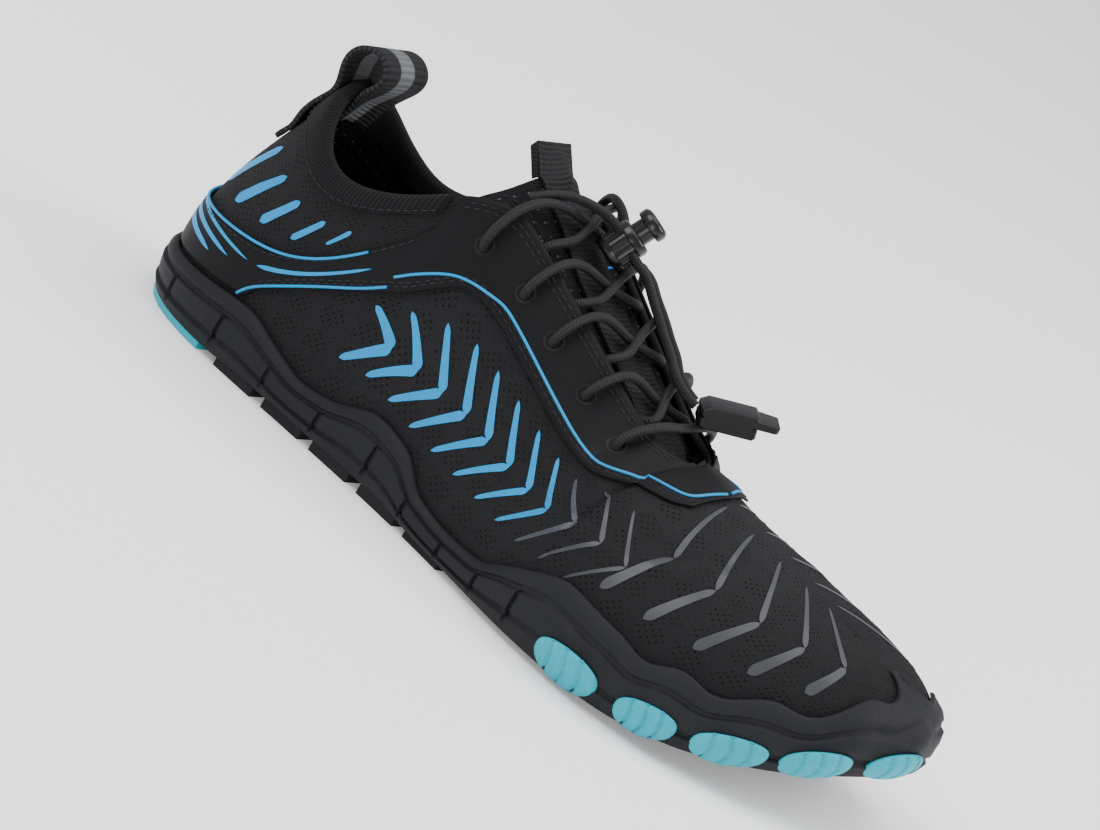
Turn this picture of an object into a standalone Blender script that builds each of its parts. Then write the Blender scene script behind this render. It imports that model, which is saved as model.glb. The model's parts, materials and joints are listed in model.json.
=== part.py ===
"""Barefoot shoe for a right foot: a knitted upper with a bonded overlay in a cupped rubber sole.

The toe points to +X, the big-toe side to +Y, and Z is up. The origin is on the floor under the heel.
Every curved piece is worked out from one surface, last_surface, which is the outside of the upper.
A section's place runs from 0 at the toe tip to 1 at the back of the heel, negative on the outer side.
A height share runs from 0 at the sole to 1 at the ridge, the throat edge or the collar.
"""

import math
from functools import lru_cache

import bmesh
import bpy
import numpy as np
from mathutils import Matrix, Vector

# Driving sizes, in metres
LENGTH = 0.275
BALL_WIDTH = 0.104
INSTEP_RISE = 0.084
HEEL_BACK = -0.030
TOE_SPRING = 0.022
SPRING_START = 0.68
SPRING_POWER = 3.0
HEEL_ROLL = 0.0016
SOLE_THICKNESS = 0.0065
LUG_DEPTH = 0.0015
SIDEWALL_HEIGHT = 0.022
SIDEWALL_THICKNESS = 0.0036
SIDEWALL_LIP = 0.0018
SIDE_GROOVE = 0.0008
SCALLOP_RISE = 0.0015
SCALLOP_LENGTH = 0.0225
UPPER_WALL = 0.0020
OVERLAY_THICKNESS = 0.0008
CUFF_THICKNESS = 0.0013
INSOLE_THICKNESS = 0.0030
TONGUE_THICKNESS = 0.0026
WEBBING_WIDTH = 0.0180
WEBBING_THICKNESS = 0.0013
PULL_TAB_LENGTH = 0.0090
HEEL_LOOP_THICKNESS = 0.0015
LOOP_RISE = 0.0112
LACE_DIAMETER = 0.0028
LACE_SLACK = 0.0009
EYELET_DIAMETER = 0.0042
POD_DEPTH = 0.0020
POD_TILT = 22.0
PAD_THICKNESS = 0.0026
LUG_REACH = 0.0085
LUG_EDGE = 0.0020
SLOT_WIDTH = 0.0012
SLOT_DEPTH = 0.0011
LOCK_DIAMETER = 0.0115
LOCK_LENGTH = 0.0110
PLUNGER_DIAMETER = 0.0070
PLUNGER_HEAD = 0.0100
PLUNGER_TRAVEL = 0.0030
CLIP_LENGTH = 0.0170
CLIP_WIDTH = 0.0105
CLIP_HEIGHT = 0.0072
SEAM_GAP = 0.00035
OVERLAY_GAP = 0.00045
RAND_GAP = 0.0006
TONGUE_CLEARANCE = 0.0011

# Sections of the last, from the toe tip round one side to the back of the heel.
# Along the shoe: shares of LENGTH from the heel. Across: shares of BALL_WIDTH. Rise: shares of INSTEP_RISE.
# foot_* is where a section leaves the sole, top_* where it ends. Leans are in degrees from upright,
# and a pull is how far each lean reaches, as a share of the section's span.
LAST = np.array([
    # foot_out, y_out, foot_in, y_in, top_along, ridge_y, top_half, top_rise, low_lean, low_pull, high_lean, high_pull
    (0.987,  0.150, 0.987, 0.150, 0.885, 0.100, 0.000, 0.421,  4, 0.55, 89, 0.50),
    (0.980,  0.040, 0.981, 0.265, 0.877, 0.096, 0.000, 0.434,  4, 0.53, 89, 0.50),
    (0.956, -0.098, 0.961, 0.362, 0.862, 0.090, 0.000, 0.457,  4, 0.51, 89, 0.50),
    (0.913, -0.238, 0.923, 0.425, 0.838, 0.080, 0.000, 0.487,  4, 0.49, 89, 0.50),
    (0.855, -0.355, 0.868, 0.454, 0.803, 0.066, 0.000, 0.520,  5, 0.46, 89, 0.50),
    (0.790, -0.428, 0.798, 0.457, 0.760, 0.050, 0.000, 0.555,  5, 0.43, 88, 0.49),
    (0.712, -0.452, 0.718, 0.432, 0.708, 0.036, 0.000, 0.583,  5, 0.41, 86, 0.47),
    (0.642, -0.436, 0.646, 0.378, 0.655, 0.024, 0.000, 0.618,  5, 0.40, 82, 0.44),
    (0.590, -0.405, 0.594, 0.333, 0.612, 0.016, 0.132, 0.648,  4, 0.39, 62, 0.37),
    (0.530, -0.371, 0.530, 0.294, 0.555, 0.008, 0.155, 0.732,  4, 0.37, 50, 0.33),
    (0.458, -0.343, 0.458, 0.271, 0.482, 0.000, 0.180, 0.848,  3, 0.34, 42, 0.30),
    (0.392, -0.328, 0.392, 0.268, 0.418, 0.000, 0.206, 0.948,  2, 0.33, 33, 0.28),
    (0.350, -0.322, 0.350, 0.276, 0.372, 0.000, 0.238, 1.000,  1, 0.33, 24, 0.27),
    (0.315, -0.318, 0.315, 0.285, 0.332, 0.000, 0.276, 0.960,  0, 0.33, 12, 0.27),
    (0.280, -0.315, 0.280, 0.292, 0.292, 0.000, 0.284, 0.868,  0, 0.33,  8, 0.27),
    (0.235, -0.312, 0.235, 0.300, 0.243, 0.000, 0.276, 0.766,  0, 0.33,  8, 0.28),
    (0.185, -0.306, 0.185, 0.303, 0.195, 0.000, 0.264, 0.708,  2, 0.33,  9, 0.30),
    (0.132, -0.290, 0.132, 0.290, 0.154, 0.000, 0.244, 0.722,  6, 0.33, 11, 0.30),
    (0.078, -0.243, 0.078, 0.243, 0.120, 0.000, 0.190, 0.800, 11, 0.33, 15, 0.30),
    (0.037, -0.148, 0.037, 0.148, 0.099, 0.000, 0.108, 0.885, 16, 0.34, 19, 0.30),
    (0.020,  0.000, 0.020, 0.000, 0.092, 0.000, 0.000, 0.925, 18, 0.35, 21, 0.30),
])
(FOOT_OUT, Y_OUT, FOOT_IN, Y_IN, TOP_ALONG, RIDGE_Y, TOP_HALF,
 TOP_RISE, LOW_LEAN, LOW_PULL, HIGH_LEAN, HIGH_PULL) = range(12)
THROAT_ROW = 7

# Top edge of the rubber sidewall: along as a share of LENGTH, rise as shares of SIDEWALL_HEIGHT
SIDEWALL_TOP = np.array([
    # along, outer side, inner side
    (0.00, 0.70, 0.70), (0.06, 0.74, 0.74), (0.12, 0.82, 0.80), (0.18, 0.90, 0.86), (0.24, 0.72, 0.74),
    (0.28, 0.62, 0.68), (0.32, 0.69, 0.80), (0.385, 0.98, 1.00), (0.43, 0.90, 0.95), (0.48, 0.53, 0.68),
    (0.53, 0.46, 0.54), (0.575, 0.50, 0.56), (0.63, 0.84, 0.80), (0.69, 1.12, 1.00), (0.74, 1.06, 0.98),
    (0.80, 0.96, 0.94), (0.88, 0.95, 0.95), (0.94, 0.94, 1.02), (1.00, 1.16, 1.16),
])
SCALLOP_FROM = 0.74
ARCH_RISE = 0.0012
ARCH_FROM = 0.19
ARCH_TO = 0.47

# Side profile of the rubber: share of its height, share of SIDEWALL_THICKNESS, and 1 where it is grooved
SIDE_STEPS = [
    # height, thickness, grooved
    (0.80, 0.80, 0), (0.755, 0.84, 1), (0.70, 0.86, 1), (0.66, 0.98, 0), (0.36, 1.00, 0),
    (0.31, 0.98, 1), (0.27, 0.96, 1), (0.22, 1.00, 0), (0.07, 0.66, 0),
]

# Bonded overlay edges as height shares
OVERLAY = np.array([
    # place, low edge, high edge
    (0.335, 0.800, 1.00), (0.350, 0.735, 1.00), (0.378, 0.690, 1.00), (0.411, 0.665, 1.00), (0.476, 0.660, 1.00),
    (0.546, 0.685, 1.00), (0.605, 0.700, 1.00), (0.639, 0.670, 1.00), (0.659, 0.610, 1.00), (0.685, 0.545, 1.00),
    (0.690, 0.540, 1.00), (0.697, 0.535, 0.83), (0.725, 0.510, 0.73), (0.749, 0.480, 0.67), (0.767, 0.450, 0.62),
    (0.811, 0.320, 0.53), (0.835, 0.140, 0.48), (0.871, 0.100, 0.43), (0.920, 0.080, 0.36), (0.964, 0.080, 0.32),
    (1.000, 0.080, 0.31),
])
CUFF_LOW = np.array([
    # place, low edge
    (0.7005, 0.905), (0.757, 0.895), (0.824, 0.880), (0.870, 0.870), (0.940, 0.840), (1.000, 0.830),
])

# Eyelets from the ankle down: place and height share
EYELETS = np.array([(0.652, 0.82), (0.599, 0.84), (0.549, 0.84), (0.496, 0.84), (0.437, 0.83)])
LACE_DIVE = 0.58

# Tongue rows from under the vamp to its top: where it tucks under the upper, how far its middle stands
# above and ahead of its tucked sides as shares of INSTEP_RISE and LENGTH, how round it is across,
# and how many times TONGUE_CLEARANCE it keeps from the upper
TONGUE = np.array([
    # tuck_place, tuck_height, arch, ahead, roundness, clearance
    (0.345, 0.800, 0.008, 0.000, 2.0, 3.0),
    (0.392, 0.860, -0.006, 0.000, 2.0, 3.0),
    (0.436, 0.975, 0.003, 0.000, 2.0, 2.0),
    (0.484, 0.980, 0.006, 0.000, 2.0, 1.0),
    (0.524, 0.980, 0.006, 0.000, 2.0, 1.0),
    (0.576, 0.980, 0.014, 0.000, 2.0, 1.0),
    (0.622, 0.980, 0.030, 0.004, 1.9, 1.0),
    (0.656, 0.980, 0.060, 0.008, 1.7, 1.0),
    (0.694, 0.960, 0.215, 0.027, 1.5, 1.0),
])
TONGUE_TUCK = (0.14, 0.07, 0.0)
TONGUE_STEPS = 14
WEBBING_START = 0.13

# Heel pull loop: heights and cover on the back, steps ahead of and above the collar's edge as shares
# of LOOP_RISE, and heights inside
LOOP_SPREAD = 0.044
LOOP_BACK = [(0.66, 0), (0.74, 0), (0.80, 1), (0.88, 1), (0.97, 1)]
LOOP_OVER = [(-0.25, 0.45), (-0.11, 0.79), (0.25, 1.00), (0.64, 0.96), (0.875, 0.71), (0.82, 0.39), (0.64, 0.11)]
LOOP_INSIDE = [0.955, 0.90, 0.85]

# Blue pods round the toe: centre as a signed place, then sizes
TOE_PODS = [
    # place, half length, centre height, half height
    (-0.304, 0.0108, 0.0068, 0.0062),
    (-0.222, 0.0086, 0.0064, 0.0057),
    (-0.153, 0.0088, 0.0062, 0.0056),
    (-0.090, 0.0080, 0.0062, 0.0056),
    (-0.018, 0.0102, 0.0064, 0.0057),
]

# Blue pads under the ball and the toes: along as a share of LENGTH, across as a share of BALL_WIDTH
PADS = [
    # along, across, half length, half width
    (0.618, -0.250, 0.0140, 0.0115),
    (0.622, 0.020, 0.0150, 0.0125),
    (0.622, 0.255, 0.0140, 0.0085),
    (0.750, -0.130, 0.0130, 0.0120),
    (0.765, 0.170, 0.0140, 0.0130),
]
HEEL_PAD_FRONT = 0.150
HEEL_PAD_EDGE = 0.0026
HEEL_PAD_POINT = 0.0035

# Black lugs along both lower edges, chevron bars between them and upright cuts: shares of LENGTH
EDGE_LUGS = [(0.178, 0.236), (0.254, 0.312), (0.330, 0.388), (0.406, 0.464), (0.482, 0.540)]
CHEVRONS = [0.205, 0.280, 0.355, 0.430, 0.505]
CHEVRON_HALF = 0.150
CHEVRON_LENGTH = 0.0065
CHEVRON_POINT = 0.0060
SIDE_SLOTS = [0.085, 0.165, 0.245, 0.325, 0.405, 0.470, 0.535, 0.595, 0.650]

# Cord lock and end clip: where they rest and the ways they point
LOCK_ALONG = 0.4225
LOCK_SIDE = 0.0030
LOCK_REST = 0.0106
LOCK_AXIS = (0.27, 0.40, 0.875)
CLIP_AXIS = (0.74, 0.62, 0.24)
CLIP_AHEAD = 0.0054
CLIP_SIDE = 0.0110
CLIP_LIFT = 0.0042

# Routes of the free lace, chosen by hand
TOP_STRANDS = {
    "lace_top_near": [(0.0712, -0.0200, 0.0940), (0.0732, -0.0160, 0.0966), (0.0772, -0.0098, 0.0992),
                      (0.0830, -0.0046, 0.0998), (0.0888, -0.0009, 0.0985)],
    "lace_top_far": [(0.0712, 0.0196, 0.0941), (0.0734, 0.0170, 0.0974), (0.0776, 0.0134, 0.0998),
                     (0.0834, 0.0106, 0.0988), (0.0881, 0.0085, 0.0959)],
}
TAIL_STRANDS = {
    "lace_tail_a": [(0.1000, 0.0035, 0.0920), (0.1022, 0.0050, 0.0906), (0.1044, 0.0064, 0.0886),
                    (0.1062, 0.0076, 0.0864), (0.1098, 0.0082, 0.0835), (0.1140, 0.0079, 0.0808),
                    (0.1184, 0.0070, 0.0784), (0.1228, 0.0056, 0.0764), (0.1270, 0.0039, 0.0742),
                    (0.1312, 0.0025, 0.0729), (0.1350, 0.0026, 0.0716), (0.1378, 0.0038, 0.0708)],
    "lace_tail_b": [(0.0986, 0.0063, 0.0911), (0.1010, 0.0083, 0.0902), (0.1036, 0.0099, 0.0884),
                    (0.1059, 0.0110, 0.0860), (0.1098, 0.0116, 0.0832), (0.1140, 0.0113, 0.0806),
                    (0.1184, 0.0103, 0.0782), (0.1228, 0.0089, 0.0762), (0.1266, 0.0072, 0.0740),
                    (0.1302, 0.0059, 0.0728), (0.1334, 0.0056, 0.0717), (0.1356, 0.0064, 0.0709)],
}

BLACK_RUBBER = (0.022, 0.022, 0.024)
BLUE_RUBBER = (0.10, 0.56, 0.68)
KNIT = (0.012, 0.012, 0.013)
BONDED_FILM = (0.006, 0.006, 0.007)
CUFF_CLOTH = (0.010, 0.010, 0.011)
WEBBING_BLACK = (0.015, 0.015, 0.016)
CORD_BLACK = (0.010, 0.010, 0.010)
PLASTIC_BLACK = (0.008, 0.008, 0.009)
SHOE = "Barefoot shoe"
CUTTERS = "Cutters"


@lru_cache(maxsize=None)
def spline_bends(knots, values):
    """Bend at each knot of the smooth curve through the values, straight at its ends."""
    step = np.diff(knots)
    count = len(knots)
    matrix = np.zeros((count, count))
    right = np.zeros(count)
    matrix[0, 0] = matrix[-1, -1] = 1.0
    for i in range(1, count - 1):
        matrix[i, i - 1] = step[i - 1]
        matrix[i, i] = 2 * (step[i - 1] + step[i])
        matrix[i, i + 1] = step[i]
        right[i] = 6 * ((values[i + 1] - values[i]) / step[i] - (values[i] - values[i - 1]) / step[i - 1])
    return np.linalg.solve(matrix, right)


def natural_spline(knots, values, at):
    """Smooth curve through the rows of values."""
    knots, values, at = np.asarray(knots, float), np.asarray(values, float), np.asarray(at, float)
    bend = spline_bends(tuple(knots), tuple(values))
    step = np.diff(knots)
    i = np.clip(np.searchsorted(knots, at) - 1, 0, len(knots) - 2)
    a = (knots[i + 1] - at) / step[i]
    b = 1 - a
    return (a * values[i] + b * values[i + 1]
            + ((a ** 3 - a) * bend[i] + (b ** 3 - b) * bend[i + 1]) * step[i] ** 2 / 6)


def steady_curve(knots, values, at):
    """Curve through the rows of values that never swings past them."""
    knots, values, at = np.asarray(knots, float), np.asarray(values, float), np.asarray(at, float)
    step = np.diff(knots)
    rise = np.diff(values) / step
    slope = np.zeros(len(knots))
    slope[0], slope[-1] = rise[0], rise[-1]
    for i in range(1, len(knots) - 1):
        if rise[i - 1] * rise[i] > 0:
            slope[i] = 2 * rise[i - 1] * rise[i] / (rise[i - 1] + rise[i])
    i = np.clip(np.searchsorted(knots, at) - 1, 0, len(knots) - 2)
    t = np.clip((at - knots[i]) / step[i], 0, 1)
    return ((2 * t ** 3 - 3 * t ** 2 + 1) * values[i] + (t ** 3 - 2 * t ** 2 + t) * step[i] * slope[i]
            + (3 * t ** 2 - 2 * t ** 3) * values[i + 1] + (t ** 3 - t ** 2) * step[i] * slope[i + 1])


def smooth_step(low, high, at):
    """0 below low, 1 above high, and smooth between."""
    t = np.clip((np.asarray(at, float) - low) / (high - low), 0, 1)
    return t * t * (3 - 2 * t)


def unit(vector):
    """The vector at length 1."""
    vector = np.asarray(vector, float)
    return vector / np.linalg.norm(vector, axis=-1, keepdims=True)


def outline_runs():
    """Distance round the outline from the toe tip to each row of LAST, by the average of both sides."""
    total = np.zeros(len(LAST))
    for along, across in ((FOOT_OUT, Y_OUT), (FOOT_IN, Y_IN)):
        x, y = LAST[:, along] * LENGTH, LAST[:, across] * BALL_WIDTH
        total[1:] += np.cumsum(np.hypot(np.diff(x), np.diff(y))) / 2
    return total


HALF_OUTLINE = outline_runs()[-1]
STATIONS = outline_runs() / HALF_OUTLINE
THROAT_PLACE = STATIONS[THROAT_ROW]
THROAT_SIDE = STATIONS[THROAT_ROW + 1]


def half_places():
    """Places of the meshes' sections: close together at the toe, the throat's base and the heel."""
    base = np.array([0.0, 0.10, 0.28, 0.52, 0.78]) * (THROAT_SIDE - THROAT_PLACE) + THROAT_PLACE
    return np.concatenate([
        [0.0, 0.0125], np.linspace(0.0, 0.20, 9)[1:-1], np.linspace(0.20, 0.335, 5)[:-1], np.linspace(0.335, THROAT_PLACE, 4)[:-1],
        base, np.linspace(THROAT_SIDE, 0.652, 7)[:-1], [0.652, 0.673, 0.690, 0.697, 0.725, 0.757],
        np.linspace(0.795, 1.0, 9),
    ])


PLACES = half_places()


def share_of(x):
    """Share of the shoe's length at x."""
    return (np.asarray(x, float) - HEEL_BACK) / LENGTH


def at_share(share):
    """x at a share of the shoe's length."""
    return HEEL_BACK + LENGTH * share


def wrapped(place):
    """The same place between -1 and 1, which are both the back of the heel."""
    return (np.asarray(place, float) + 1) % 2 - 1


def toe_lift(x):
    """Height that the toe spring and the rolled heel edge add at a place along the shoe."""
    share = share_of(x)
    toe = TOE_SPRING * np.clip((share - SPRING_START) / (1 - SPRING_START), 0, 1.2) ** SPRING_POWER
    heel = HEEL_ROLL * np.clip((0.06 - share) / 0.06, 0, 1) ** 2
    return toe + heel


def foot_line(place):
    """Plan position of the foot of the section at a signed place."""
    place = wrapped(place)
    wrap = 4
    knots = np.concatenate([-STATIONS[::-1], STATIONS[1:]])
    found = []
    for out, inner, size in ((FOOT_OUT, FOOT_IN, LENGTH), (Y_OUT, Y_IN, BALL_WIDTH)):
        values = np.concatenate([LAST[::-1, out], LAST[1:, inner]]) * size
        k = np.concatenate([knots[-wrap - 1:-1] - 2, knots, knots[1:wrap + 1] + 2])
        v = np.concatenate([values[-wrap - 1:-1], values, values[1:wrap + 1]])
        found.append(natural_spline(k, v, place))
    return HEEL_BACK + found[0], found[1]


def outward(place):
    """Unit vector in plan that points out of the shoe at a signed place."""
    small = 1e-4
    x0, y0 = foot_line(place - small)
    x1, y1 = foot_line(place + small)
    dx, dy = x1 - x0, y1 - y0
    size = np.hypot(dx, dy)
    return dy / size, -dx / size


def throat_half(at):
    """Half width of the opening, as a share of BALL_WIDTH, with a round end at the throat's base."""
    t = np.clip((at - THROAT_PLACE) / (THROAT_SIDE - THROAT_PLACE), 0, 1)
    half = steady_curve(STATIONS[THROAT_ROW + 1:], LAST[THROAT_ROW + 1:, TOP_HALF], np.maximum(at, THROAT_SIDE))
    return half * np.sqrt(1 - (1 - t) ** 2)


def top_line(place):
    """Where the section at a signed place ends: on the ridge, the throat edge or the collar."""
    side = np.sign(place)
    at = np.abs(place)
    x = at_share(natural_spline(STATIONS, LAST[:, TOP_ALONG], at))
    y = BALL_WIDTH * (natural_spline(STATIONS, LAST[:, RIDGE_Y], at) + side * throat_half(at))
    z = SOLE_THICKNESS + toe_lift(x) + INSTEP_RISE * natural_spline(STATIONS, LAST[:, TOP_RISE], at)
    return x, y, z


def last_surface(place, height):
    """Point on the outside of the upper."""
    place, height = np.broadcast_arrays(wrapped(place), np.asarray(height, float))
    at = np.abs(place)
    fx, fy = foot_line(place)
    fz = SOLE_THICKNESS + SEAM_GAP + toe_lift(fx)
    nx, ny = outward(place)
    tx, ty, tz = top_line(place)
    start, end = np.stack([fx, fy, fz], -1), np.stack([tx, ty, tz], -1)
    span = np.linalg.norm(end - start, axis=-1)
    low = np.radians(natural_spline(STATIONS, LAST[:, LOW_LEAN], at))
    high = np.radians(natural_spline(STATIONS, LAST[:, HIGH_LEAN], at))
    low_pull = span * natural_spline(STATIONS, LAST[:, LOW_PULL], at)
    high_pull = span * natural_spline(STATIONS, LAST[:, HIGH_PULL], at)
    small = 1e-3
    ax, _, az = top_line(at + small)
    bx, _, bz = top_line(np.maximum(at - small, 0))
    slope = (az - bz) / np.where(np.abs(ax - bx) < 1e-9, -1e-9, ax - bx) * smooth_step(1.1, 1.4, high)
    rise = np.stack([nx * np.sin(low), ny * np.sin(low), np.cos(low)], -1)
    fall = np.stack([-nx * np.sin(high), -ny * np.sin(high), np.cos(high) - nx * slope * np.sin(high)], -1)
    second = start + rise * low_pull[..., None]
    third = end - fall * high_pull[..., None]
    t = height[..., None]
    return ((1 - t) ** 3 * start + 3 * (1 - t) ** 2 * t * second
            + 3 * (1 - t) * t ** 2 * third + t ** 3 * end)


def side_normal(place, height):
    """Unit vector out of one side of the upper."""
    small = 2e-3
    height = np.clip(height, small, 1 - small)
    across = last_surface(place + small, height) - last_surface(place - small, height)
    upward = last_surface(place, height + small) - last_surface(place, height - small)
    return unit(np.cross(across, upward))


def last_normal(place, height):
    """Unit vector out of the upper's outside; on the ridge both sides share one."""
    place, height = np.broadcast_arrays(np.asarray(place, float), np.asarray(height, float))
    normal = side_normal(place, height)
    on_ridge = (height > 0.99) & (np.abs(place) <= THROAT_PLACE + 1e-6)
    return np.where(on_ridge[..., None], unit(normal + side_normal(-place, height)), normal)


def skin(place, height, offset):
    """Point at a distance outside the upper's outside."""
    place, height, offset = np.broadcast_arrays(*(np.asarray(v, float) for v in (place, height, offset)))
    return last_surface(place, height) + offset[..., None] * last_normal(place, height)


def height_at(place, z):
    """Height share on each section where the upper's outside reaches z."""
    shares = np.linspace(0, 0.7, 36)
    found = []
    for p, level in zip(np.atleast_1d(place), np.atleast_1d(z)):
        found.append(np.interp(level, last_surface(p, shares)[:, 2], shares))
    return np.array(found)


def place_at_share(side, share):
    """Signed place where the foot line lies at a share of the length; side is -1 outer, 1 inner."""
    places = np.linspace(0.0, 1.0, 400)
    x, _ = foot_line(side * places)
    return side * float(np.interp(-share, -share_of(x), places))


def signed_places():
    """Places from the heel along the outer side to the toe and back along the inner side."""
    return np.concatenate([-PLACES[::-1], PLACES[1:-1]])


def sidewall_top(place):
    """Height above the floor of the rubber's top edge, with its scallops round the toe."""
    place = np.asarray(place, float)
    x, _ = foot_line(place)
    share = share_of(x)
    outer = steady_curve(SIDEWALL_TOP[:, 0], SIDEWALL_TOP[:, 1], share)
    inner = steady_curve(SIDEWALL_TOP[:, 0], SIDEWALL_TOP[:, 2], share)
    blend = smooth_step(-0.15, 0.15, np.where(np.abs(place) > 0.5, (1 - np.abs(place)) * np.sign(place), place))
    wave = np.cos(2 * math.pi * place * HALF_OUTLINE / SCALLOP_LENGTH)
    scallops = SCALLOP_RISE * wave * smooth_step(SCALLOP_FROM, SCALLOP_FROM + 0.08, share)
    return SIDEWALL_HEIGHT * (outer * (1 - blend) + inner * blend) + scallops + toe_lift(x)


def tread_base(x):
    """Height of the sole's underside between its lugs."""
    share = share_of(x)
    arch = smooth_step(ARCH_FROM - 0.05, ARCH_FROM + 0.05, share) * smooth_step(ARCH_TO + 0.05, ARCH_TO - 0.05, share)
    return LUG_DEPTH + toe_lift(x) + ARCH_RISE * arch


def beside_foot(place, reach, z=0.0):
    """Point at a distance outside the foot line, at a height."""
    fx, fy = foot_line(place)
    nx, ny = outward(place)
    return np.array([fx + nx * reach, fy + ny * reach, z])


def sole_profile(place):
    """Outline of the rubber at a signed place, from the footbed's corner over the lip to the underside."""
    fx, _ = foot_line(place)
    floor = SOLE_THICKNESS + float(toe_lift(fx))
    top = float(sidewall_top(place))
    base = float(tread_base(fx))
    share = float(height_at(place, top)[0])
    nx, ny = outward(place)
    out = np.array([nx, ny, 0])

    def against_upper(part):
        return skin(place, share * part, RAND_GAP)

    crest = against_upper(1.0)
    points = [beside_foot(place, SEAM_GAP, floor), against_upper(0.25), against_upper(0.5), against_upper(0.75),
              crest, crest + out * SIDEWALL_LIP]
    for height, thickness, grooved in SIDE_STEPS:
        z = base + height * (top - base)
        inner = skin(place, min(float(height_at(place, z)[0]), share), RAND_GAP)
        point = inner + out * (SIDEWALL_THICKNESS * thickness - SIDE_GROOVE * grooved)
        points.append(np.array([point[0], point[1], z]))
    points.append(beside_foot(place, SEAM_GAP, base))
    return points


def new_object(name, mesh, colour, roughness, collection=SHOE):
    """Adds a mesh to a collection with its own material."""
    body = bpy.data.objects.new(name, mesh)
    if collection not in bpy.data.collections:
        bpy.context.scene.collection.children.link(bpy.data.collections.new(collection))
    bpy.data.collections[collection].objects.link(body)
    material = bpy.data.materials.new(name)
    material.use_nodes = True
    shader = material.node_tree.nodes["Principled BSDF"]
    shader.inputs["Base Color"].default_value = (*colour, 1)
    shader.inputs["Roughness"].default_value = roughness
    shader.inputs["Metallic"].default_value = 0.0
    mesh.materials.clear()
    mesh.materials.append(material)
    return body


def finish_mesh(name, work, merge, solid=True, crease=38):
    """Mesh from a working copy, with doubled vertices merged; a solid's faces are turned outwards."""
    bmesh.ops.remove_doubles(work, verts=work.verts, dist=merge)
    if solid:
        bmesh.ops.recalc_face_normals(work, faces=work.faces)
        if work.calc_volume(signed=True) < 0:
            bmesh.ops.reverse_faces(work, faces=work.faces)
    mesh = bpy.data.meshes.new(name)
    work.to_mesh(mesh)
    work.free()
    mesh.shade_smooth()
    mesh.set_sharp_from_angle(angle=math.radians(crease))
    return mesh


def mesh_from(name, vertices, faces, solid=True, merge=2e-6):
    """Mesh from vertices and faces."""
    mesh = bpy.data.meshes.new(name + "_raw")
    mesh.from_pydata([tuple(map(float, v)) for v in vertices], [], faces)
    work = bmesh.new()
    work.from_mesh(mesh)
    bpy.data.meshes.remove(mesh)
    return finish_mesh(name, work, merge, solid)


def grid_faces(rows, columns, closed_rows=False, closed_columns=False):
    """Four-sided faces of a grid of vertices stored row by row."""
    faces = []
    for i in range(rows if closed_rows else rows - 1):
        for j in range(columns if closed_columns else columns - 1):
            a, b = i * columns + j, i * columns + (j + 1) % columns
            c, d = ((i + 1) % rows) * columns + (j + 1) % columns, ((i + 1) % rows) * columns + j
            faces.append((a, d, c, b))
    return faces


def ladder_faces(loop):
    """Faces across a loop of vertex numbers that starts at one tip and is even in count."""
    count = len(loop)
    rungs = [[loop[i], loop[i + 1], loop[count - i - 1], loop[-i if i else 0]] for i in range(count // 2)]
    return [tuple(dict.fromkeys(rung)) for rung in rungs]


def thicken(sheet, thickness, along_normal):
    """Gives an open surface its wall, along its faces' normals or against them."""
    wall = sheet.modifiers.new("Wall", "SOLIDIFY")
    wall.thickness = thickness
    wall.offset = 1 if along_normal else -1
    wall.use_even_offset = True
    wall.use_quality_normals = True


def sheet_object(name, grid, thickness, colour, roughness, closed_rows=False, along_normal=True):
    """Open surface made solid by a Solidify modifier."""
    rows, columns = grid.shape[:2]
    mesh = mesh_from(name, grid.reshape(-1, 3), grid_faces(rows, columns, closed_rows), solid=False)
    sheet = new_object(name, mesh, colour, roughness)
    thicken(sheet, thickness, along_normal)
    return sheet


def ring_object(name, rings, colour, roughness, collection=SHOE):
    """Solid through closed outlines of equal size, capped at its ends."""
    rings = np.asarray(rings)
    count, size = rings.shape[:2]
    faces = grid_faces(count, size, closed_columns=True)
    faces += [tuple(range(size)), tuple(range((count - 1) * size, count * size))[::-1]]
    return new_object(name, mesh_from(name, rings.reshape(-1, 3), faces), colour, roughness, collection)


def slab_object(name, lower, upper, colour, roughness, collection=SHOE):
    """Solid between two loops that start at one tip and are even in count."""
    count = len(lower)
    faces = ladder_faces(list(range(count))) + ladder_faces(list(range(count, 2 * count)))
    faces += [(i, (i + 1) % count, count + (i + 1) % count, count + i) for i in range(count)]
    mesh = mesh_from(name, np.concatenate([lower, upper]), faces)
    return new_object(name, mesh, colour, roughness, collection)


def prism_mesh(name, blocks):
    """Several upright blocks in one mesh; each is a plan outline, its low height and its high height."""
    vertices, faces = [], []
    for outline, low, high in blocks:
        first, count = len(vertices), len(outline)
        vertices += [(x, y, low) for x, y in outline]
        vertices += [(x, y, high) for x, y in outline]
        faces += [tuple(first + i for i in range(count)), tuple(first + count + i for i in range(count))[::-1]]
        faces += [(first + i, first + (i + 1) % count, first + count + (i + 1) % count, first + count + i)
                  for i in range(count)]
    return mesh_from(name, vertices, faces)


def cord_mesh(name, points, diameter):
    """Round cord along a list of points, as a mesh with closed ends."""
    curve = bpy.data.curves.new(name, "CURVE")
    curve.dimensions = "3D"
    curve.bevel_depth = diameter / 2
    curve.bevel_resolution = 2
    curve.use_fill_caps = True
    spline = curve.splines.new("POLY")
    spline.points.add(len(points) - 1)
    for target, point in zip(spline.points, points):
        target.co = (*map(float, point), 1)
    guide = bpy.data.objects.new(name + "_guide", curve)
    bpy.context.scene.collection.objects.link(guide)
    bpy.context.view_layer.update()
    tube = bpy.data.meshes.new_from_object(guide.evaluated_get(bpy.context.evaluated_depsgraph_get()))
    bpy.data.objects.remove(guide)
    work = bmesh.new()
    work.from_mesh(tube)
    return finish_mesh(name, work, 1e-6, crease=60)


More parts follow.
